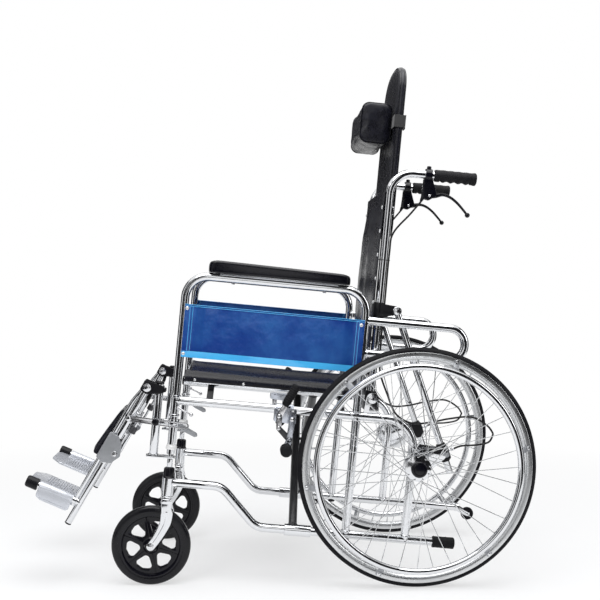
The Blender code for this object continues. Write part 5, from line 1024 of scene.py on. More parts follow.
def makeTabs():
    # bent straps between the handrim and the rim, with their bolts
    w = wheel
    y, z = w["axle"]
    face = chair["wheel"] + 0.0123
    course = [(w["handrimX"] - 0.005, w["handrim"] + 0.005), (w["handrimX"] - 0.0068, w["handrim"] + 0.0085),
              (face + 0.014, w["rimInner"] - 0.001), (face + 0.005, w["rimInner"] + 0.0055),
              (face + 0.0013, w["rimInner"] + 0.0085), (face + 0.0011, w["rimInner"] + 0.0165)]
    back = [(x - 0.0016, r - 0.0012) for x, r in reversed(course[:4])]
    outline = course + [(face - 0.0002, w["rimInner"] + 0.0165), (face - 0.0002, w["rimInner"] + 0.006)] + back
    strap = slab([(x, y - 0.0075, z + r) for x, r in outline], (0, 0.015, 0), 0.0005)
    head = bolt((y, z + w["rimInner"] + 0.0128), face + 0.0011, 1, 0.0034, 0.0022)
    return [turnedCopies(piece, w["tabs"], (0, y, z), (1, 0, 0), w["firstTab"]) for piece in (strap, head)]


def makeWheels():
    fitPair(makeTyre(), "wheelTyre", "wheel", "tyreRubber", "tyre")
    spokes, nipples = makeSpokes()
    fitPair(makeRim(), "wheelRim", "wheel", "satinRim", "wheel")
    fitPair(makeHub(), "wheelHub", "wheel", "chrome")
    fitPair(spokes, "wheelSpokes", "wheel", "spokeWire")
    fitPair(nipples, "spokeNipples", "wheel", "spokeWire")
    straps, heads = makeTabs()
    hoop = ring(wheel["handrim"], wheel["handrimTube"], at(wheel["handrimX"], wheel["axle"]), (1, 0, 0), 128, 16)
    fitPair(hoop, "pushRim", "wheel", "chrome", "handrim")
    fitPair(straps, "pushRimStraps", "wheel", "clampGrey")
    fitPair(heads, "pushRimBolts", "wheel", "boltHead")
    cap = turned([(0, 0.0284), (0.02, 0.0284), (0.0205, 0.0294), (0.0205, 0.0385), (0.0198, 0.0405), (0.018, 0.042),
                  (0.015, 0.0428), (0.0146, 0.0422), (0.0135, 0.0422), (0.013, 0.043), (0.006, 0.0437), (0, 0.0438)],
                 wheelCentre(), (1, 0, 0), 48)
    fitPair(cap, "hubCap", "wheel", "glossBlack", "hub_cap")
    print("wheels made")


makeWheels()


# Casters

caster = {"axle": (-0.0283, 0.0994), "radius": 0.10073, "crownLow": 0.209}


def makeCasterWheel():
    x = chair["frame"]
    y, z = caster["axle"]
    spot = (x, y, z)
    outer = caster["radius"]
    half = [(0.0044, 0.0175), (0.012, 0.0175), (0.0145, 0.0165), (0.0165, 0.013), (0.02, 0.0075), (0.025, 0.0048),
            (0.0722, 0.0048), (0.0732, 0.0062), (0.0738, 0.0095), (0.0752, 0.0118), (0.079, 0.0128), (0.083, 0.0126)]
    profile = half + [(r, -a) for r, a in reversed(half)] + [half[0]]
    body = turned(profile, spot, (1, 0, 0), 72, 30)
    # six rounded openings, narrow towards the hub
    corners = [(0.0225, 0.0), (0.0565, -0.0262), (0.064, 0.0), (0.0565, 0.0262)]
    outline = [shifted((y, z), a, b) for a, b in softCorners(corners, 0.0095, 6)]
    cutter = turnedCopies(sidePlate(outline, x - 0.03, x + 0.03, 0), 6, spot, (1, 0, 0), 15.0)
    useModifier(body, "BOOLEAN", object=cutter, operation="DIFFERENCE", solver="EXACT")
    bpy.data.objects.remove(cutter)
    closeUp(body)
    roundEdges(body, 0.0009, 2, 60)
    # thin rib down the middle of each arm, both faces
    ribs = [block((face - 0.0012, y + 0.017, z - 0.0011), (face + 0.0012, y + 0.0722, z + 0.0011), 0.0005)
            for face in (x + 0.0056, x - 0.0056)]
    body = joined(body, turnedCopies(joined(*ribs), 6, spot, (1, 0, 0), 45.0))
    smooth(body, 40)
    edge = [(0.0805, 0.0128), (0.0825, 0.0138), (0.088, 0.014), (0.0935, 0.0132), (0.0975, 0.0112), (0.0997, 0.008),
            (outer, 0.0035), (outer, 0.0)]
    tyre = turned(edge + [(r, -a) for r, a in reversed(edge[:-1])] + [(0.0805, 0.0128)], spot, (1, 0, 0), 96, 40)
    return body, tyre


def makeCasterFork():
    x = chair["frame"]
    c = caster
    y, z = c["axle"]
    crown = [(x - 0.0235, -0.0125), (x + 0.0235, -0.0125), (x + 0.0235, 0.0125), (x - 0.0235, 0.0125)]
    crown = slab([(a, b, c["crownLow"] + 0.001) for a, b in softCorners(crown, 0.006, 5)], (0, 0, 0.013), 0.002, 3)
    parts = [crown,
             turned([(0, 0.221), (0.015, 0.221), (0.015, 0.2225), (0.0142, 0.2232), (0.0142, 0.227), (0.0134, 0.228),
                     (0, 0.228)], (x, 0, 0), (0, 0, 1), 32),
             rod((x, 0, 0.224), (x, 0, 0.263), 0.008)]
    # each leg comes straight down from the crown, then sweeps back to the axle
    sweep = flowing([(0.0002, 0.22), (0.003, 0.2), (0.005, 0.186), (0.0034, 0.164), (-0.0042, 0.143), (-0.015, 0.1205),
                     (y, z)], 5)
    widths = [0.0126, 0.0128, 0.015, 0.0142, 0.0124, 0.0112, 0.0106]
    leftEdge, rightEdge, middleEdge = [], [], []
    for i, spot in enumerate(sweep):
        ahead = (sweep[min(i + 1, len(sweep) - 1)] - sweep[max(i - 1, 0)]).normalized()
        share = i / 5
        k = min(int(share), len(widths) - 2)
        half = widths[k] + (widths[k + 1] - widths[k]) * (share - k)
        aside = Vector((-ahead.y, ahead.x)) * half
        leftEdge.append(tuple(spot + aside))
        rightEdge.append(tuple(spot - aside))
        middleEdge.append((spot, aside * (0.0026 / half)))
    heading = math.degrees(math.atan2(ahead.y, ahead.x))
    outline = leftEdge + arcSpots((y, z), widths[-1], heading - 84, heading + 84, 14)[::-1] + rightEdge[::-1]
    middleEdge = middleEdge[8:-2]
    spine = [tuple(spot + aside) for spot, aside in middleEdge]
    spine += [tuple(spot - aside) for spot, aside in reversed(middleEdge)]
    for side in (1.0, -1.0):
        faces = sorted((x + side * 0.0186, x + side * 0.0226))
        parts.append(sidePlate(outline, faces[0], faces[1], 0.0014, 3))
        ridge = sorted((x + side * 0.0224, x + side * 0.0235))
        parts.append(sidePlate(spine, ridge[0], ridge[1], 0.0004, 2))
    parts.append(rod(at(x - 0.0235, (y, z)), at(x + 0.0235, (y, z)), 0.004))
    nuts = [bolt((y, z), x + 0.0226, 1, 0.007, 0.0036), bolt((y, z), x - 0.0226, -1, 0.007, 0.0036)]
    return joined(*parts), joined(*nuts)


def makeCasters():
    body, tyre = makeCasterWheel()
    fitPair(body, "casterBody", "caster", "glossBlack", "caster_wheel")
    fitPair(tyre, "casterTyre", "caster", "casterRubber")
    fork, nuts = makeCasterFork()
    fitPair(fork, "casterFork", "fork", "chrome", "caster_fork")
    fitPair(nuts, "casterNuts", "fork", "boltHead")
    print("casters made")


makeCasters()


# Parking brakes

brake = {"leverPivot": (0.2659, 0.4575), "armPivot": (0.2995, 0.4526), "toggle": (0.2675, 0.4275),
         "linkEnd": (0.2962, 0.4017), "shoe": (0.2899, 0.3769), "layer": 0.2525, "step": 0.0033, "sheet": 0.003}


def makeParkingBrakes():
    b = brake
    x = chair["frame"]
    layer = [b["layer"] + i * b["step"] for i in range(4)]
    face = [low + b["sheet"] for low in layer]
    plate = softCorners([(0.2519, 0.4435), (0.3095, 0.4395), (0.3095, 0.4795), (0.2519, 0.4795)], 0.006)
    parts = [sidePlate(plate, layer[0], face[0], 0.0007),
             block((x + 0.008, 0.2599, 0.4635), (layer[0] + 0.0005, 0.2975, 0.4785), 0.001),
             sleeved(0.0112, 0.0145, 0.2559, 0.3015, (0.0005, 0.0007), (x, 0, chair["rail"]), (0, 1, 0))]
    fitPair(joined(*parts), "brakeClamp", "frame", "zinc")
    clampBolts = [bolt((0.264, 0.476), face[0], 1, 0.003, 0.0022),
                  bolt((0.3, 0.4745), face[0], 1, 0.003, 0.0022),
                  rivet(b["leverPivot"], face[1] + 0.0004, 1, 0.0054, 0.0022),
                  rivet(b["armPivot"], face[3] + 0.0004, 1, 0.0054, 0.0022),
                  rod(at(layer[0], b["leverPivot"]), at(layer[1] + 0.0035, b["leverPivot"]), 0.003, 12),
                  rod(at(layer[0], b["armPivot"]), at(layer[3] + 0.0035, b["armPivot"]), 0.003, 12)]
    fitPair(joined(*clampBolts), "brakeBolts", "frame", "boltHead")

    gripLow = shifted(b["leverPivot"], 0.0123, 0.0293)
    gripHigh = shifted(b["leverPivot"], 0.0381, 0.0829)
    blade = sidePlate(capsule(b["leverPivot"], shifted(gripLow, 0.005, 0.011), 0.008, 0.006), layer[1], face[1])
    toe = sidePlate(capsule(b["toggle"], b["leverPivot"], 0.0065, 0.008), layer[1], face[1])
    pin = joined(rod(at(layer[1], b["toggle"]), at(layer[2] + 0.0034, b["toggle"]), 0.003, 12),
                 rivet(b["toggle"], face[2] + 0.0003, 1, 0.0052, 0.002))
    fitPair(joined(blade, toe, pin), "brakeLever", "brake_lever", "brightLever", "parking_brake_lever")
    # ribbed grip
    run = Vector((0, gripHigh[0] - gripLow[0], gripHigh[1] - gripLow[1]))
    length = run.length
    profile = [(0, -0.0015), (0.0068, -0.0015), (0.0084, 0.0), (0.0092, 0.004)]
    for i in range(7):
        low = 0.01 + i * 0.0058
        profile += [(0.0108, low), (0.0114, low + 0.0012), (0.0114, low + 0.0034), (0.0104, low + 0.0044)]
    profile += [(0.0112, length - 0.006), (0.0104, length - 0.0022), (0.008, length - 0.0004), (0.004, length + 0.0006),
                (0, length + 0.0008)]
    grip = turned(profile, at(layer[1] + 0.0015, gripLow), run, 32, 50)
    fitPair(grip, "brakeGrip", "brake_lever", "gripRubber")

    link = sidePlate(capsule(b["toggle"], b["linkEnd"], 0.0065, 0.008), layer[2], face[2])
    fitPair(link, "brakeLink", "brake_link", "darkSteel", "parking_brake_link")
    arm = joined(sidePlate(capsule(b["armPivot"], b["linkEnd"], 0.008, 0.0075), layer[3], face[3]),
                 sidePlate(capsule(b["linkEnd"], b["shoe"], 0.0075, 0.009), layer[3], face[3]),
                 rivet(b["linkEnd"], face[3], 1, 0.005, 0.0018))
    fitPair(arm, "brakeArm", "brake_arm", "zinc", "parking_brake_arm")
    start = layer[3]
    end = 0.302
    shoe = turned([(0, start), (0.0122, start), (0.0148, start + 0.002), (0.015, start + 0.006),
                   (0.0142, start + 0.0075), (0.015, start + 0.009), (0.015, end - 0.009), (0.0142, end - 0.0075),
                   (0.015, end - 0.006), (0.015, end), (0.0135, end + 0.0018), (0, end + 0.002)], at(0, b["shoe"]),
                  (1, 0, 0), 36, 50)
    fitPair(shoe, "brakeShoe", "brake_arm", "gripRubber")
    print("parking brakes made")


makeParkingBrakes()


# Legrests

legrest = {"pivot": (-0.0741, 0.5003), "angle": 25.0, "hangerY": -0.044, "hangerLow": 0.325, "barHeight": 0.41549,
           "barPinX": 0.258, "full": 0.3986, "footAt": 0.34, "footAngle": 18.3, "footLength": 0.118, "plateReach": 0.15,
           "raiseRadius": 0.09}


def legPoint(t, n=0.0):
    # t down the leg from its pivot, n forward of it
    a = math.radians(legrest["angle"])
    y, z = legrest["pivot"]
    return (y - math.sin(a) * t - math.cos(a) * n, z - math.cos(a) * t + math.sin(a) * n)


def onLeg(t, n=0.0):
    return at(chair["frame"], legPoint(t, n))


def legAxis():
    a = math.radians(legrest["angle"])
    return Vector((0, -math.sin(a), -math.cos(a)))


def footPoint(x, s, n=0.0):
    a = math.radians(legrest["footAngle"])
    y, z = legPoint(legrest["footAt"])
    return Vector((x, y - math.cos(a) * s + math.sin(a) * n, z + math.sin(a) * s + math.cos(a) * n))


def footAxis():
    a = math.radians(legrest["footAngle"])
    return Vector((0, -math.cos(a), math.sin(a)))


def makeHanger():
    x = chair["frame"]
    h = legrest
    y = h["hangerY"]
    upright = bentTube([(x, y, h["hangerLow"]), (x, y, 0.512)], [], chair["tube"], edge=0.001)
    corners = [(x - 0.0125, y - 0.018), (x + 0.0125, y - 0.018), (x + 0.0125, 0.0125), (x - 0.0125, 0.0125)]
    foot = slab([(a, b, h["hangerLow"]) for a, b in softCorners(corners, 0.007, 6)], (0, 0, 0.0055), 0.0008)
    sleeve = sleeved(0.0113, 0.0145, 0.405, 0.425, (0.0005, 0.0008), (x, 0, 0), (0, 0, 1))
    web = block((x - 0.006, y, 0.407), (x + 0.006, -0.0113, 0.423), 0.001)
    fitPair(joined(upright, foot, sleeve, web, weld((x, y, 0.3312), (0, 0, 1), 0.011)), "hangerTube", "hanger",
            "chrome", "legrest_hanger")
    # black cheeks of the leg's pivot
    p = h["pivot"]
    outline = softCorners([shifted(p, -0.006, 0.0205), shifted(p, -0.018, -0.006), shifted(p, -0.002, -0.0165),
                           (-0.037, p[1] - 0.013), (-0.034, p[1] + 0.0075), shifted(p, 0.0075, 0.015)], 0.005, 5)
    cheeks = [*cheekPair(outline, x, 0.0119, 0.0158, 0.0009),
              block((x - 0.015, y - 0.007, p[1] - 0.0115), (x + 0.015, y + 0.0125, p[1] + 0.006), 0.0015),
              block((x - 0.0135, y + 0.008, p[1] - 0.0085), (x + 0.0135, y + 0.018, p[1] + 0.0015), 0.002)]
    lever = sidePlate(softCorners([(-0.07, 0.487), (-0.061, 0.485), (-0.064, 0.47), (-0.073, 0.456), (-0.076, 0.459),
                                   (-0.0735, 0.472)], 0.002, 3), x - 0.0095, x - 0.006, 0.0008)
    top = turned([(0, 0.511), (0.0113, 0.511), (0.0118, 0.512), (0.0118, 0.515), (0.01, 0.5175), (0, 0.5185)],
                 (x, y, 0), (0, 0, 1), 28)
    fitPair(joined(*cheeks, lever, top), "pivotCheeks", "hanger", "blackPlastic")
    # bright bolts: leg pivot, raising bar
    barSpot = (y, h["barHeight"])
    bolts = [bolt(p, x + 0.0158, 1, 0.0078, 0.0044), bolt(p, x - 0.0158, -1, 0.0078, 0.0044),
             rod(at(x - 0.015, p), at(x + 0.015, p), 0.004, 12),
             rod(at(x, barSpot), at(h["barPinX"], barSpot), 0.004, 14)]
    fitPair(joined(*bolts), "hangerBolts", "hanger", "boltHead")
    ridges = [(0.0085 - 0.0007 * (k % 2), 0.2587 + 0.0009 * k) for k in range(5)]
    knob = turned([(0, 0.2573), (0.007, 0.2573), (0.0085, 0.2582), *ridges, (0.0078, 0.2634), (0.0055, 0.264),
                   (0, 0.264)], at(0, barSpot), (1, 0, 0), 32)
    paddle = sidePlate(softCorners([(0.012, 0.419), (0.012, 0.408), (0.03, 0.396), (0.056, 0.385), (0.064, 0.3875),
                                    (0.062, 0.396), (0.033, 0.41)], 0.003, 4), x + 0.011, x + 0.014, 0.0009)
    fitPair(knob, "barKnob", "hanger", "glossBlack")
    fitPair(paddle, "releasePaddle", "hanger", "clampGrey")


def makeCatchPin():
    # ball-ended pin that locks the armrest's front leg
    x = chair["frame"]
    start = (0.006, 0.456)
    end = (0.043, 0.4405)
    pin = rod(at(x + 0.009, start), at(x + 0.01, end), 0.0022, 12)
    knob = ball(0.0052, at(x + 0.0101, end), 20)
    collar = turned([(0, -0.004), (0.0048, -0.004), (0.0048, 0.004), (0, 0.004)], at(x + 0.0088, (0.011, 0.454)),
                    (0, 0.92, -0.39), 16)
    fitPair(joined(pin, knob, collar), "catchPin", "frame", "brightLever")


def makeLeg():
    x = chair["frame"]
    h = legrest
    axis = legAxis()
    tube = joined(bentTube([onLeg(-0.01), onLeg(0.222)], [], chair["tube"], edge=0.0012),
                  bentTube([onLeg(0.01, 0.006), onLeg(0.05, 0.014), onLeg(0.356, 0.014)], [0.12], 0.0064, 18,
                           edge=0.0015))
    rodSpots = [onLeg(0.06, -0.0225), onLeg(0.178, -0.0225)]
    parts = [tube, rod(rodSpots[0], rodSpots[1], 0.004, 14)]
    for t in (0.072, 0.1735):
        parts.append(rod(onLeg(t, 0.0), onLeg(t, -0.0225), 0.005, 14))
    barPin = legPoint(h["raiseRadius"])
    parts.append(rod(at(x, barPin), at(h["barPinX"], barPin), 0.004, 14))
    parts.append(turned([(0, 0.2572), (0.006, 0.2572), (0.0065, 0.2578), (0.0065, 0.259), (0.0055, 0.2597), (0, 0.26)],
                        at(0, barPin), (1, 0, 0), 20))
    fitPair(joined(*parts), "legTube", "leg", "chrome", "legrest_leg")
    # grey clamp with its cheek, black knob on the height rod
    clamp = sleeved(0.0112, 0.014, 0.184, 0.215, (0.0005, 0.001), onLeg(0.0), axis)
    corners = [(0.141, 0.0235), (0.216, 0.0235), (0.2205, 0.004), (0.212, -0.0165), (0.187, -0.029), (0.158, -0.0185),
               (0.144, -0.002)]
    outline = softCorners([legPoint(t, n) for t, n in corners], 0.005, 4)
    cheek = sidePlate(outline, x + 0.0085, x + 0.0153, 0.0012, 3)
    fitPair(joined(clamp, cheek), "legClamp", "leg", "clampGrey")
    fitPair(bolt(legPoint(0.1875, -0.0145), x + 0.0153, 1, 0.0056, 0.0034), "legClampBolt", "leg", "boltHead")
    knob = turned([(0.0035, 0.104), (0.008, 0.104), (0.0095, 0.106), (0.0092, 0.109), (0.0095, 0.112), (0.0092, 0.115),
                   (0.0095, 0.12), (0.008, 0.122), (0.0035, 0.122), (0.0035, 0.104)], onLeg(0.0, -0.0235), axis, 28)
    fitPair(knob, "heightKnob", "leg", "darkSteel")
    # slotted raising bar, cut with a slot-shaped plate
    pin = Vector(legPoint(h["raiseRadius"]))
    run = Vector((h["hangerY"], h["barHeight"])) - pin
    rest = run.length
    run.normalize()
    restAngle = 2.0 * math.asin(rest / (2.0 * h["raiseRadius"]))
    reach = 2.0 * h["raiseRadius"] * math.sin((restAngle + math.radians(60)) / 2.0)
    body = sidePlate(capsule(tuple(pin), tuple(pin + run * (reach + 0.003)), 0.0075, 0.0075), 0.2543, 0.257, 0)
    slot = sidePlate(capsule(tuple(pin + run * (rest - 0.001)), tuple(pin + run * (reach + 0.001)), 0.0044, 0.0044),
                     0.25, 0.26, 0)
    useModifier(body, "BOOLEAN", object=slot, operation="DIFFERENCE", solver="EXACT")
    bpy.data.objects.remove(slot)
    roundEdges(body, 0.0005)
    fitPair(smooth(body), "raiseBar", "raise_bar", "brightLever", "legrest_bar")


def makeFootrest():
    x = chair["frame"]
    h = legrest
    axis = footAxis()
    inner = bentTube([onLeg(0.15), onLeg(h["full"])], [], 0.0085, edge=0.0015)
    spur = bentTube([onLeg(h["footAt"]), footPoint(x, h["footLength"])], [], 0.009)
    bead = weld(footPoint(x, 0.0095), axis, 0.009, 0.0015)
    fitPair(joined(inner, spur, bead), "footTube", "footrest", "chrome", "footrest_bar")
    # end plug of the tube, cap of its bar
    plug = turned([(0, 0), (0.0083, 0), (0.0088, 0.0008), (0.0086, 0.0026), (0.006, 0.004), (0, 0.0044)],
                  onLeg(h["full"]), legAxis(), 24)
    cap = turned([(0, 0.119), (0.0091, 0.119), (0.0091, 0.114), (0.0142, 0.114), (0.015, 0.115), (0.015, 0.14),
                  (0.0142, 0.1436), (0.012, 0.1456), (0.008, 0.146), (0, 0.146)], onLeg(h["footAt"]), axis, 32)
    fitPair(joined(plug, cap), "footCap", "footrest", "blackPlastic")

    # plate with ribs, rounded nose, sleeve round the bar and outer skirt
    insideX = x - h["plateReach"]
    outline = softCorners([(x, 0.02), (x, 0.1085), (x - 0.0165, 0.112), (x - 0.0165, 0.13), (x - 0.03, 0.145),
                           (insideX + 0.03, 0.145), (insideX, 0.118), (insideX, 0.02)], 0.011, 5)
    up = footPoint(x, 0.0, 1.0) - footPoint(x, 0.0, 0.0)
    board = slab([footPoint(a, s, -0.006) for a, s in outline], tuple(up * 0.006), 0.0016, 3)
    section = [(0.0285, -0.002), (0.032, -0.002), (0.0315, 0.0016), (0.0308, 0.0025), (0.0297, 0.0025), (0.029, 0.0016)]
    rib = slab([footPoint(insideX + 0.012, s, n) for s, n in section], (h["plateReach"] - 0.026, 0, 0), 0.0004)
    ribs = [rib]
    for i in range(1, 12):
        more = copied(rib)
        more.data.transform(Matrix.Translation(axis * 0.0066 * i))
        ribs.append(more)
    sleeve = sleeved(0.0095, 0.0124, 0.02, 0.11, (0.0006, 0.001), onLeg(h["footAt"]), axis)
    skirtOutline = [(0.02, -0.001), (0.02, -0.026), (0.026, -0.031), (0.095, -0.031), (0.108, -0.026), (0.11, -0.018),
                    (0.11, -0.001)]
    skirt = slab([footPoint(x + 0.0092, s, n) for s, n in softCorners(skirtOutline, 0.004, 3)], (0.003, 0, 0), 0.001)
    section = [(0.028, -0.027), (0.1, -0.027), (0.1, -0.025), (0.028, -0.025)]
    fold = slab([footPoint(x + 0.0092, s, n) for s, n in section], (0.004, 0, 0), 0.0006)
    fitPair(joined(board, sleeve, skirt, fold, *ribs), "footBoard", "footplate", "greyPlastic", "footplate")


def makeCalfPad():
    x = chair["frame"]
    axis = legAxis()
    edge = x - 0.018
    width = 0.135
    top, low = 0.08, 0.222
    middle = (top + low) / 2
    pickNone()
    bpy.ops.mesh.primitive_cube_add(size=1.0)
    pad = bpy.context.object
    editAll(pad)
    bpy.ops.mesh.subdivide(number_cuts=9)
    leaveEdit()
    for point in pad.data.vertices:
        a, b, c = (point.co * 2.0)[:]
        # pillow outline: sides pulled in between corners, crown in the middle
        wide = 1.0 - 0.05 * (1.0 - b * b)
        high = 1.0 - 0.04 * (1.0 - a * a)
        corner = max(0.0, math.hypot(max(0.0, abs(a) - 0.7), max(0.0, abs(b) - 0.7)) - 0.3)
        n = 0.023 + 0.007 * b + c * (0.0085 + 0.002 * (1 - a * a) * (1 - b * b)) - 0.003 * corner
        t = middle + b * (low - top) / 2 * high * (1.0 - 0.12 * corner)
        point.co = at(edge - width / 2 + a * width / 2 * wide * (1.0 - 0.12 * corner), legPoint(t, n))
    pad = puffed(pad, 0.0042, 3.0, 0.0045)
    fitPair(pad, "calfCushion", "calf", "vinyl", "calf_pad")
    frontFace = softCorners([(edge - width + 0.006, top + 0.006), (edge - 0.006, top + 0.006),
                             (edge - 0.006, low - 0.006), (edge - width + 0.006, low - 0.006)], 0.012, 5)
    board = slab([at(a, legPoint(t, 0.01 + 0.007 * (t - middle) / (low - middle))) for a, t in frontFace],
                 tuple(Vector(at(0, legPoint(0, 0.0045))) - Vector(at(0, legPoint(0, 0.0)))), 0.001)
    sleeve = sleeved(0.0112, 0.0132, 0.148, 0.182, (0.0004, 0.0008), onLeg(0.0), axis)
    # stepped arm: the thin part clears the clamp's cheek when the pad is turned aside
    arms = []
    for far, near, front in ((edge - 0.018, x - 0.0085, 0.0076), (edge - 0.02, edge - 0.007, 0.012)):
        corners = [legPoint(0.15, -0.002), legPoint(0.18, -0.002), legPoint(0.18, front), legPoint(0.15, front)]
        arms.append(sidePlate(corners, far, near, 0.001))
    fitPair(joined(board, sleeve, *arms), "calfBoard", "calf", "blackPlastic")


def puffed(piece, voxel, pressure, reach):
    # remeshed, blown up a little as cloth, kept within reach of its drawn shape, then smoothed
    useModifier(piece, "REMESH", mode="VOXEL", voxel_size=voxel, adaptivity=0.0)
    drawn = [point.co.copy() for point in piece.data.vertices]
    cloth = piece.modifiers.new("air", "CLOTH")
    cloth.settings.quality = 5
    cloth.settings.use_pressure = True
    cloth.settings.uniform_pressure_force = pressure
    cloth.settings.effector_weights.gravity = 0.0
    cloth.settings.tension_stiffness = 20
    cloth.settings.compression_stiffness = 20
    cloth.settings.shear_stiffness = 10
    cloth.point_cache.frame_start = 1
    cloth.point_cache.frame_end = 20
    scene = bpy.context.scene
    for number in range(1, 21):
        scene.frame_set(number)
    pick(piece)
    bpy.ops.object.modifier_apply(modifier="air")
    scene.frame_set(1)
    for point, start in zip(piece.data.vertices, drawn):
        move = point.co - start
        if move.length > reach:
            point.co = start + move.normalized() * reach
    return smooth(useModifier(piece, "SUBSURF", levels=1, render_levels=1), 60)


makeHanger()
makeCatchPin()
makeLeg()
makeFootrest()
makeCalfPad()
print("legrests made")


# Reclining back

back = {"handle": 1.1115, "handleEnd": 0.7185, "bend": 0.058, "strutTop": (0.5457, 0.7507), "lock": (0.7008, 0.3963),
        "strutRadius": 0.009, "tail": 0.056, "lug": 1.01}


def strutAxis():
    run = Vector(back["lock"]) - Vector(back["strutTop"])
    return run.normalized(), run.length


def makeCanes():
    x = chair["cane"]
    y = chair["caneY"]
    b = back
    tube = bentTube([(x, y, 0.5), (x, y, b["handle"]), (x, b["handleEnd"], b["handle"])], [b["bend"]], chair["tube"],
                    bendStep=6.0)
    lug = block((0.1656, y - 0.008, b["lug"] - 0.01), (x, y + 0.016, b["lug"] + 0.01), 0.0015)
    fitPair(joined(tube, lug), "caneTube", "cane", "chrome", "back_cane")
    # black clamp that holds the strut's top, with its ear
    p = b["strutTop"]
    band = sleeved(0.0111, 0.0148, p[1] - 0.024, p[1] + 0.018, (0.0006, 0.001), (x, y, 0), (0, 0, 1))
    ear = sidePlate([(y + 0.002, p[1] + 0.016), (y + 0.002, p[1] - 0.021)] + arcSpots(p, 0.012, -62, 92, 14),
                    x + 0.004, 0.2036, 0.0012)
    foot = turned([(0.0111, 0.498), (0.0142, 0.498), (0.0142, 0.535), (0.0132, 0.537), (0.0111, 0.537),
                   (0.0111, 0.498)], (x, y, 0), (0, 0, 1), 32)
    fitPair(joined(band, ear, foot), "caneClamp", "cane", "blackPlastic")
    pin = joined(rod(at(x + 0.006, p), at(0.2228, p), 0.004, 14), bolt(p, 0.222, 1, 0.0068, 0.0026))
    fitPair(pin, "strutBolt", "cane", "boltHead")


def makeStruts():
    x = chair["strut"]
    b = back
    run, length = strutAxis()
    top = Vector(at(x, b["strutTop"]))
    along = Vector((0, run.x, run.y))
    main = bentTube([top, top + along * (length + b["tail"])], [], b["strutRadius"], edge=0.0016)
    eye = sleeved(0.0044, 0.0114, -0.0089, 0.0089, (0.0009, 0.0009), top, (1, 0, 0))
    fitPair(joined(main, eye), "strutRod", "strut", "chrome", "recline_strut")
    # lock: black block that the strut slides through, with its barrel adjuster
    spot = Vector(b["lock"])
    across = Vector((-run.y, run.x))
    corners = [tuple(spot + run * 0.02 * i + across * 0.0145 * j) for i, j in ((-1, -1), (1, -1), (1, 1), (-1, 1))]
    body = sidePlate(softCorners(corners, 0.005, 5), x - 0.0115, x + 0.014, 0.0016, 3)
    nose = [(0.0098, 0.0), (0.0122, 0.0), (0.0118, 0.0042), (0.0104, 0.0052), (0.0098, 0.0052), (0.0098, 0.0)]
    for sign in (-1.0, 1.0):
        end = Vector(at(x, spot + run * 0.02 * sign))
        body = joined(body, turned(nose, end - along * 0.001 * sign, along * sign, 28))
    fitPair(body, "lockBlock", "lock", "blackPlastic", "recline_lock")
    corners = [(-0.013, -0.01), (0.013, -0.01), (0.013, 0.012), (-0.013, 0.012)]
    outline = softCorners([tuple(spot + run * i + across * j) for i, j in corners], 0.004, 4)
    cheek = sidePlate(outline, x + 0.0138, x + 0.0152, 0.0005)
    fitPair(joined(cheek, bolt(b["lock"], x + 0.015, 1, 0.0056, 0.003)), "lockCheek", "lock", "clampGrey")
    start = Vector(at(x, spot + across * 0.012))
    profile = [(0, 0.0), (0.004, 0.0), (0.004, 0.004), (0.003, 0.005), (0.003, 0.0085), (0.0044, 0.0092),
               (0.0046, 0.01), (0.0042, 0.0106), (0.0046, 0.0114), (0.0042, 0.0122), (0.0046, 0.013), (0.0042, 0.0138),
               (0.0044, 0.0176), (0.0034, 0.0185), (0, 0.0185)]
    fitPair(turned(profile, start, (0, across.x, across.y), 20), "cableBarrel", "lock", "boltHead")
    print("canes and struts made")


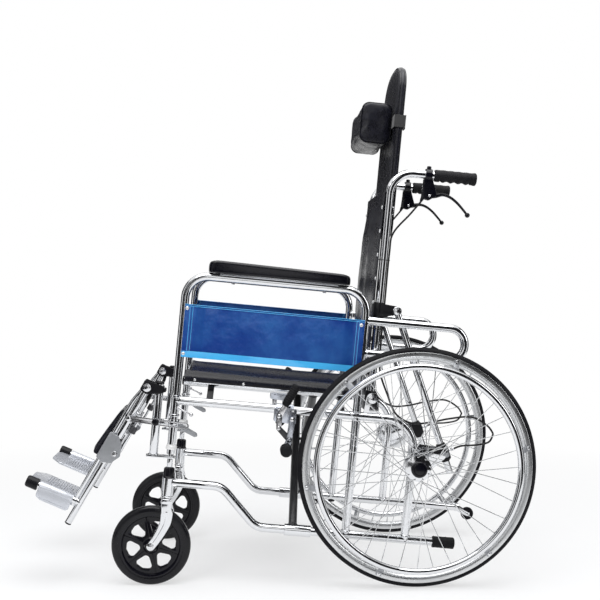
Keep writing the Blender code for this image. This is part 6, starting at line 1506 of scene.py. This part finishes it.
def makeHandles():
    x = chair["cane"]
    top = back["handle"]
    front, rear = 0.6125, 0.7235
    length = rear - front

    def gripPoint(s, t):
        angle = -math.tau * s
        lean = math.sin(angle)
        ends = min(1.0, t * length / 0.004, (1.0 - t) * length / 0.003)
        radius = 0.0158 * (0.84 + 0.16 * math.sin(0.5 * math.pi * max(0.0, ends)))
        fingers = 0.5 - 0.5 * math.cos(math.tau * 4 * min(max((t - 0.13) / 0.72, 0.0), 1.0))
        if 0.13 < t < 0.85:
            radius += 0.0007 * fingers
            radius -= (1.0 - fingers) * 0.003 * max(0.0, -lean - 0.1)
        if t > 0.9:
            radius += 0.0009 * min(1.0, (t - 0.9) / 0.03) * min(1.0, (1.0 - t) / 0.02)
        radius -= 0.0004 * (1 if round(t * 88) % 4 == 0 and 0.2 < t < 0.82 and lean > 0.2 else 0)
        return (x + radius * math.cos(angle), front + length * t, top + radius * math.sin(angle))

    grip = rolled(36, 88, gripPoint, angle=50)
    fitPair(grip, "handleGrip", "cane", "gripRubber", "hand_grip")
    # bracket: split clamp, two cheeks, round cap with a screw
    y = 0.598
    clamp = sleeved(0.0119, 0.0158, -0.009, 0.009, (0.0008, 0.001), (x, y, top), (0, 1, 0))
    outline = softCorners([(y - 0.011, top - 0.01), (y - 0.014, top - 0.062), (y + 0.006, top - 0.066),
                           (y + 0.026, top - 0.052), (y + 0.011, top - 0.01)], 0.004, 5)
    cheeks = [*cheekPair(outline, x, 0.0042, 0.0087, 0.0012, 3),
              block((x - 0.005, y - 0.0125, top - 0.046), (x + 0.005, y - 0.001, top - 0.012), 0.001)]
    cap = turned([(0, 0.011), (0.0055, 0.011), (0.0058, 0.013), (0.0058, 0.0205), (0.005, 0.0225), (0.003, 0.0232),
                  (0, 0.0234)], (x, y, top), (0, 0, 1), 24)
    boot = turned([(0, 0.0), (0.0046, 0.0), (0.005, 0.002), (0.0046, 0.006), (0.0036, 0.01), (0.003, 0.013),
                   (0, 0.013)], (x, y - 0.0095, top - 0.059), (0, -0.35, -0.94), 20)
    fitPair(joined(clamp, *cheeks, cap, boot), "leverBracket", "cane", "glossBlack", "lever_bracket")
    pivot = (0.6045, 1.0575)
    fitPair(joined(rivet(pivot, x + 0.0086, 1, 0.0034, 0.0014), rivet(pivot, x - 0.0086, -1, 0.0034, 0.0014),
                   rod(at(x - 0.008, pivot), at(x + 0.008, pivot), 0.0025, 10)), "leverPin", "cane", "boltHead")
    # curved lever, oval in section, ending in a ball
    course = [(-0.006, 0.0, 0.0034, 0.006), (0.0, 0.0, 0.0036, 0.007), (0.0175, 0.0025, 0.0036, 0.0062),
              (0.0355, 0.0065, 0.0042, 0.0043), (0.0555, 0.0015, 0.005, 0.0037), (0.0755, -0.0115, 0.005, 0.0034),
              (0.0925, -0.0275, 0.0042, 0.0032), (0.105, -0.0405, 0.0034, 0.003)]
    route = flowing([(w, *shifted(pivot, a, c)) for a, c, w, _ in course], 6)
    depths = flowing([(d, 0, 0) for _, _, _, d in course], 6)

    def leverPoint(s, t):
        i = min(int(round(t * (len(route) - 1))), len(route) - 1)
        here = route[i]
        ahead = route[min(i + 1, len(route) - 1)] - route[max(i - 1, 0)]
        heading = Vector((0, ahead.y, ahead.z)).normalized()
        normal = Vector((0, -heading.z, heading.y))
        angle = math.tau * s
        return Vector((x + here.x * math.cos(angle), here.y, here.z)) + normal * depths[i].x * math.sin(angle)

    lever = rolled(16, len(route) - 1, leverPoint, angle=60)
    tip = ball(0.0066, at(x, shifted(pivot, 0.105, -0.0405)), 24)
    fitPair(joined(lever, tip), "squeezeLever", "hand_lever", "glossBlack", "hand_lever")
    print("handles made")


def makeCables():
    x = chair["cane"]
    strutX = chair["strut"]
    top = back["handle"]
    y = chair["caneY"]
    hinge = (y, chair["seat"])
    run, _ = strutAxis()
    across = Vector((-run.y, run.x))
    lock = back["lock"]
    behind = 0.0141
    upper = [(0.5855, top - 0.0695), (y + 0.059, 1.006), (y + behind + 0.005, 0.952)]
    upper += [(y + behind, z) for z in (0.9, 0.78, 0.66)]
    upper += [shifted(hinge, a, b) for a, b in ((0.019, 0.07), (0.0444, 0.01), (0.071, -0.038), (0.1138, -0.0585),
                                                (0.1606, -0.0531))]
    route = [at(x, spot) for spot in upper]
    route += [at(x + out, shifted(lock, a, b)) for a, b, out in ((0.012, 0.0855, 0.002), (0.0693, 0.0957, 0.008),
                                                                 (0.1106, 0.0783, 0.016), (0.1277, 0.0588, 0.021))]
    low = [at(x + out, shifted(lock, a, b)) for a, b, out in ((0.1277, 0.0588, 0.021), (0.1171, 0.0369, 0.0255),
                                                              (0.0842, 0.0262, 0.0255))]
    stop = Vector(lock) + across * 0.03
    low += [at(strutX, tuple(stop + across * 0.022)), at(strutX, tuple(stop))]
    for side in ("left", "right"):
        sign = 1.0 if side == "left" else -1.0
        first = wire([(sign * a, b, c) for a, b, c in flowing(route, 7)], 0.0025, 4)
        ties = [ring(0.0145, 0.0011, (sign * x, y + 0.002, z), (0, 0, 1), 32, 6) for z in (0.88, 0.7)]
        second = wire([(sign * a, b, c) for a, b, c in flowing(low, 8)], 0.0025, 4)
        fit(first, "upperCable_" + side, None, "cableSkin", ["recline_cable_" + side])
        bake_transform(first)
        fit(second, "lowerCable_" + side, None, "cableSkin")
        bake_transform(second)
        fit(joined(*ties), "cableTies_" + side, side + "_cane", "cableSkin")
    print("cables made")


sling = {"low": 0.487, "high": 1.058, "half": 0.194, "thick": 0.004}


def swell(away, width):
    # bell shape: 1 in its middle, fading over the width
    return math.exp(-(away / width) ** 2)


def foldUp(piece):
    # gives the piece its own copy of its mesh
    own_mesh(piece)


def makeBackSling():
    face = chair["caneY"] - chair["tube"] - 0.0003
    s = sling
    height = s["high"] - s["low"]

    def hollow(share, across):
        bulge = 1.0 - across * across
        # filled out towards the sitter, less at both hems
        depth = -0.0175 * min(1.0, (1.0 - share) * 5.0 + 0.04) ** 0.7 * min(1.0, share * 8.0 + 0.1)
        fold = 0.0024 * math.sin(math.pi * share) * bulge * (1.0 + math.cos(4.0 * math.pi * across))
        crease = noise.noise(Vector((across * 2.4, share * 9.0, 1.3))) * 0.0016 * bulge
        tug = noise.noise(Vector((across * 7.0, share * 26.0, 5.1))) * 0.0007 * bulge
        return depth * bulge - fold + crease + tug

    def slingPoint(a, t):
        # round the section: front face, then back again along the rear face
        turnAt = 0.5
        across = -1.0 + 4.0 * a if a <= turnAt else 3.0 - 4.0 * a
        edge = 1.0 - min(1.0, (1.0 - abs(across)) / 0.012) if abs(across) > 0.988 else 0.0
        hem = 0.0012 * swell(t * height - 0.006, 0.006) + 0.0012 * swell((1 - t) * height - 0.006, 0.006)
        seam = -0.0007 * swell(s["half"] * (1 - abs(across)) - 0.03, 0.0016)
        thick = (s["thick"] + hem + seam) * (1.0 - 0.75 * edge)
        front = a < turnAt or a > 0.9999
        y = face - 0.002 + hollow(t, across) + (-0.5 if front else 0.5) * thick
        return (s["half"] * across, y, s["low"] + height * t)

    piece = rolled(112, 72, slingPoint, angle=60)
    fit(piece, "backSling", "left_cane", "vinyl", ["back_sling"])
    heads = [turned([(0, 0), (0.0052, 0), (0.0052, 0.001), (0.004, 0.0024), (0.0018, 0.003), (0, 0.003)],
                    (chair["cane"] - 0.001, face - 0.004, 0.52 + 0.062 * i), (0, -1, 0), 16) for i in range(9)]
    fitPair(joined(*heads), "slingScrews", "cane", "whiteRivet")
    foldUp(piece)
    print("back sling made")


headBoard = {"half": 0.165, "low": 0.94, "shoulder": 1.34, "top": 1.414, "front": 0.4995, "thick": 0.026}


def boardOutline():
    h = headBoard
    rise = h["top"] - h["shoulder"]
    turns = [math.radians(a) for a in range(0, 91, 6)]
    arch = [(h["half"] * math.cos(a) ** 0.72, h["shoulder"] + rise * math.sin(a)) for a in turns]
    right = softCorners([(0.0, h["low"]), (h["half"], h["low"]), (h["half"], h["shoulder"]), (0.0, h["shoulder"])],
                        0.026, 7)
    corner = [spot for spot in right if spot[0] > 0.05 and spot[1] < h["shoulder"] - 0.05]
    half = [(0.0, h["low"])] + corner + arch
    return spaced(half + [(-a, b) for a, b in reversed(half[1:-1])], 0.01)


def makeHeadPanel():
    h = headBoard
    middle = (h["low"] + h["top"]) / 2
    spread = boardOutline()
    # share of the outline and depth, from the middle of the front to the middle of the rear
    course = [(0.0, 0.0), (0.25, 0.0004), (0.5, 0.0), (0.7, 0.0002), (0.82, 0.001), (0.9, 0.0026), (0.95, 0.0046),
              (0.976, 0.0066), (0.978, 0.008), (0.985, 0.0095), (0.988, 0.013), (0.985, 0.0165), (0.978, 0.018),
              (0.976, 0.0194), (0.95, 0.0214), (0.9, 0.0234), (0.82, 0.0248), (0.7, 0.0256), (0.5, 0.0258),
              (0.25, 0.0256), (0.0, 0.0258)]

    def panelPoint(a, t):
        spot = spread[round(a * len(spread)) % len(spread)]
        i = round(t * (len(course) - 1))
        share, depth = course[i]
        sideways = spot.x * share
        z = middle + (spot.y - middle) * share
        dent = noise.noise(Vector((sideways * 13.0, z * 11.0, depth * 50.0))) * 0.0016 * min(1.0, (1.0 - share) * 6.0)
        dent += noise.noise(Vector((sideways * 38.0, z * 8.0, 4.0))) * 0.0005
        inwards = 1 if i < len(course) / 2 else -1
        return (sideways, h["front"] + 0.0006 + depth * (h["thick"] - 0.001) / 0.0258 + dent * inwards, z)

    panel = rolled(len(spread), len(course) - 1, panelPoint, capped=False, angle=60)
    fit(panel, "headBoard", "left_cane", "vinyl", ["head_panel"])
    pipes = [wire([(spot.x * 0.97, y, middle + (spot.y - middle) * 0.97) for spot in spread + spread[:1]], 0.0024, 3)
             for y in (h["front"] + 0.0062, h["front"] + h["thick"] - 0.0062)]
    fit(joined(*pipes), "headPiping", "left_cane", "padSkin")
    for name in ("headBoard", "headPiping"):
        foldUp(bpy.data.objects[name])
    print("head panel made")


def makeHeadCushion():
    c = {"half": 0.13, "low": 1.186, "high": 1.3, "rear": 0.499, "front": 0.411}
    middle = ((c["rear"] + c["front"]) / 2, (c["low"] + c["high"]) / 2)
    deep, tall = (c["rear"] - c["front"]) / 2 - 0.003, (c["high"] - c["low"]) / 2 - 0.003
    corners = softCorners([(-deep, -tall), (deep, -tall), (deep, tall), (-deep, tall)], 0.02, 8)
    section = spaced(corners, 0.006)
    # along the cushion: share of its half length, then share of its section
    course = [(-0.985, 0.0), (-0.99, 0.35), (-0.998, 0.65), (-1.0, 0.82), (-0.992, 0.92), (-0.972, 0.972),
              (-0.935, 0.996)]
    course += [(-0.86 + 0.0717 * k, 1.0) for k in range(25)] + [(-a, b) for a, b in reversed(course)]

    def cushionPoint(a, t):
        spot = section[round(a * len(section)) % len(section)]
        along, share = course[round(t * (len(course) - 1))]
        # sides crowned, drawn in between the corners
        crown = 1.0 + 0.03 * math.cos(spot.x / deep * 1.5) * (1.0 - along * along)
        crown += 0.012 * math.cos(spot.y / tall * 1.5)
        pucker = noise.noise(Vector((along * 5.0, spot.x * 40.0, spot.y * 40.0))) * 0.0008
        y = middle[0] + spot.x * share * (crown * 0.985) + pucker
        return (along * (c["half"] - 0.002), y, middle[1] + spot.y * share * crown + pucker)

    cushion = puffed(rolled(len(section), len(course) - 1, cushionPoint, capped=False, angle=60), 0.0042, 3.0, 0.003)
    for point in cushion.data.vertices:
        point.co.y = max(min(point.co.y, c["rear"]), c["front"])
    fit(cushion, "headCushion", "left_cane", "vinyl", ["headrest_cushion"])
    # piped seam round each end, begun on a straight so that it closes
    begin = 11
    section = section[begin:] + section[:begin]
    seams = []
    for side in (1.0, -1.0):
        route = [(side * (c["half"] - 0.0085), middle[0] + spot.x * 0.985, middle[1] + spot.y * 0.985)
                 for spot in section]
        seams.append(wire(route + route[:1], 0.0014, 3))
    fit(joined(*seams), "cushionSeams", "left_cane", "padSkin")
    # strap round the panel
    outer = 0.1653
    low, high = 1.232, 1.264
    front, rear = 0.4992, 0.5258
    thick = 0.0018
    inner = softCorners([(-outer, front), (outer, front), (outer, rear), (-outer, rear)], 0.003, 4)
    outside = softCorners([(-outer - thick, front - thick), (outer + thick, front - thick),
                           (outer + thick, rear + thick), (-outer - thick, rear + thick)], 0.004, 4)
    count = len(inner)

    def strapPoint(a, t):
        i = round(a * count) % count
        section = [(0, 0), (0, 1), (1, 1), (1, 0), (0, 0)][round(t * 4)]
        spot = inner[i] if section[0] == 0 else outside[i]
        return (spot[0], spot[1], low if section[1] == 0 else high)

    strap = rolled(count, 4, strapPoint, capped=False, angle=30)
    roundEdges(closeUp(strap), 0.0004, 2, 60)
    buckle = block((0.124, rear + thick - 0.0002, low - 0.003), (0.156, rear + thick + 0.0018, high + 0.003), 0.0008)
    fit(smooth(strap, 30), "cushionStrap", "left_cane", "strapWeb")
    for name in ("headCushion", "cushionSeams", "cushionStrap"):
        foldUp(bpy.data.objects[name])
    fit(buckle, "strapBuckle", "left_cane", "blackPlastic")
    print("head cushion made")


seat = {"front": 0.0144, "rear": 0.453, "rail": 0.18, "sag": 0.022, "thick": 0.0045, "flap": 0.001}


def makeSeatSling():
    s = seat
    wrap = 0.0117
    z0 = chair["seat"]
    length = s["rear"] - s["front"]

    def course(a):
        # half circle over each rail, sagging web between; a runs 0 to 1 from flap to flap
        edge = 0.1
        if a < edge:
            share = a / edge
            if share < 0.45:
                return -s["rail"] - wrap, z0 - s["flap"] + s["flap"] * share / 0.45, 0.0, (-1.0, 0.0)
            angle = math.radians(180 - 90 * (share - 0.45) / 0.55)
            out = (math.cos(angle), math.sin(angle))
            return -s["rail"] + wrap * out[0], z0 + wrap * out[1], 0.0, out
        if a > 1 - edge:
            x, z, hollow, out = course(1 - a)
            return -x, z, hollow, (-out[0], out[1])
        across = -1.0 + 2.0 * (a - edge) / (1 - 2 * edge)
        return s["rail"] * across, z0 + wrap, 1.0 - across * across, (0.0, 1.0)

    def seatPoint(a, t):
        top = a <= 0.5 or a > 0.9999
        share = 2 * min(a, 1 - a)
        x, z, hollow, out = course(share)
        across = x / s["rail"]
        if t < 0.5:
            depth = 0.62 + 0.38 * math.sin(math.pi * min(t / 0.9, 1.0) * 0.5)
        else:
            depth = 1.0 - 0.26 * max(0.0, (t - 0.6) / 0.4) ** 2
        drop = s["sag"] * depth * hollow
        fold = noise.noise(Vector((across * 3.2, t * 5.0, 7.7))) * 0.002 * hollow
        fold += 0.0016 * hollow * math.sin(9.0 * across + 5.0 * t) * swell(t - 0.06, 0.12)
        fold += noise.noise(Vector((across * 11.0, t * 9.0, 2.2))) * 0.0007
        hem = 0.0012 * swell(t * length - 0.005, 0.004) + 0.0008 * swell((1 - t) * length - 0.005, 0.004)
        edgeHem = 0.0008 * swell(min(share, 1 - share), 0.012)
        thick = s["thick"] + hem + edgeHem if top else 0.0
        drop -= 0.013 * swell(abs(across) - 0.86, 0.13) * (1.0 if hollow > 0 else 0.6) * (1 if top else 0.6)
        crumple = (fold if top or hollow > 0 else 0.0) * (1 if hollow > 0 else 0.3)
        return (x + out[0] * thick, s["front"] + length * t, z - drop + crumple + out[1] * thick)

    piece = rolled(160, 84, seatPoint, angle=60)
    fit(piece, "seatSling", None, "vinyl", ["seat_sling"])
    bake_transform(piece)
    profile = [(0, 0), (0.0036, 0), (0.0036, 0.0006), (0.0026, 0.0015), (0, 0.0018)]
    heads = joined(*[turned(profile, (s["rail"] + wrap + s["thick"] - 0.0002, 0.0416 + 0.1265 * i, z0 + 0.0045),
                            (1, 0, 0.25), 14) for i in range(4)])
    twin = mirrored(heads)
    fit(heads, "seatScrews_left", "brace_b", "whiteRivet")
    fit(twin, "seatScrews_right", "brace_a", "whiteRivet")
    print("seat sling made")


makeCanes()
makeStruts()
makeHandles()
makeCables()
makeBackSling()
makeHeadPanel()
makeHeadCushion()
makeSeatSling()
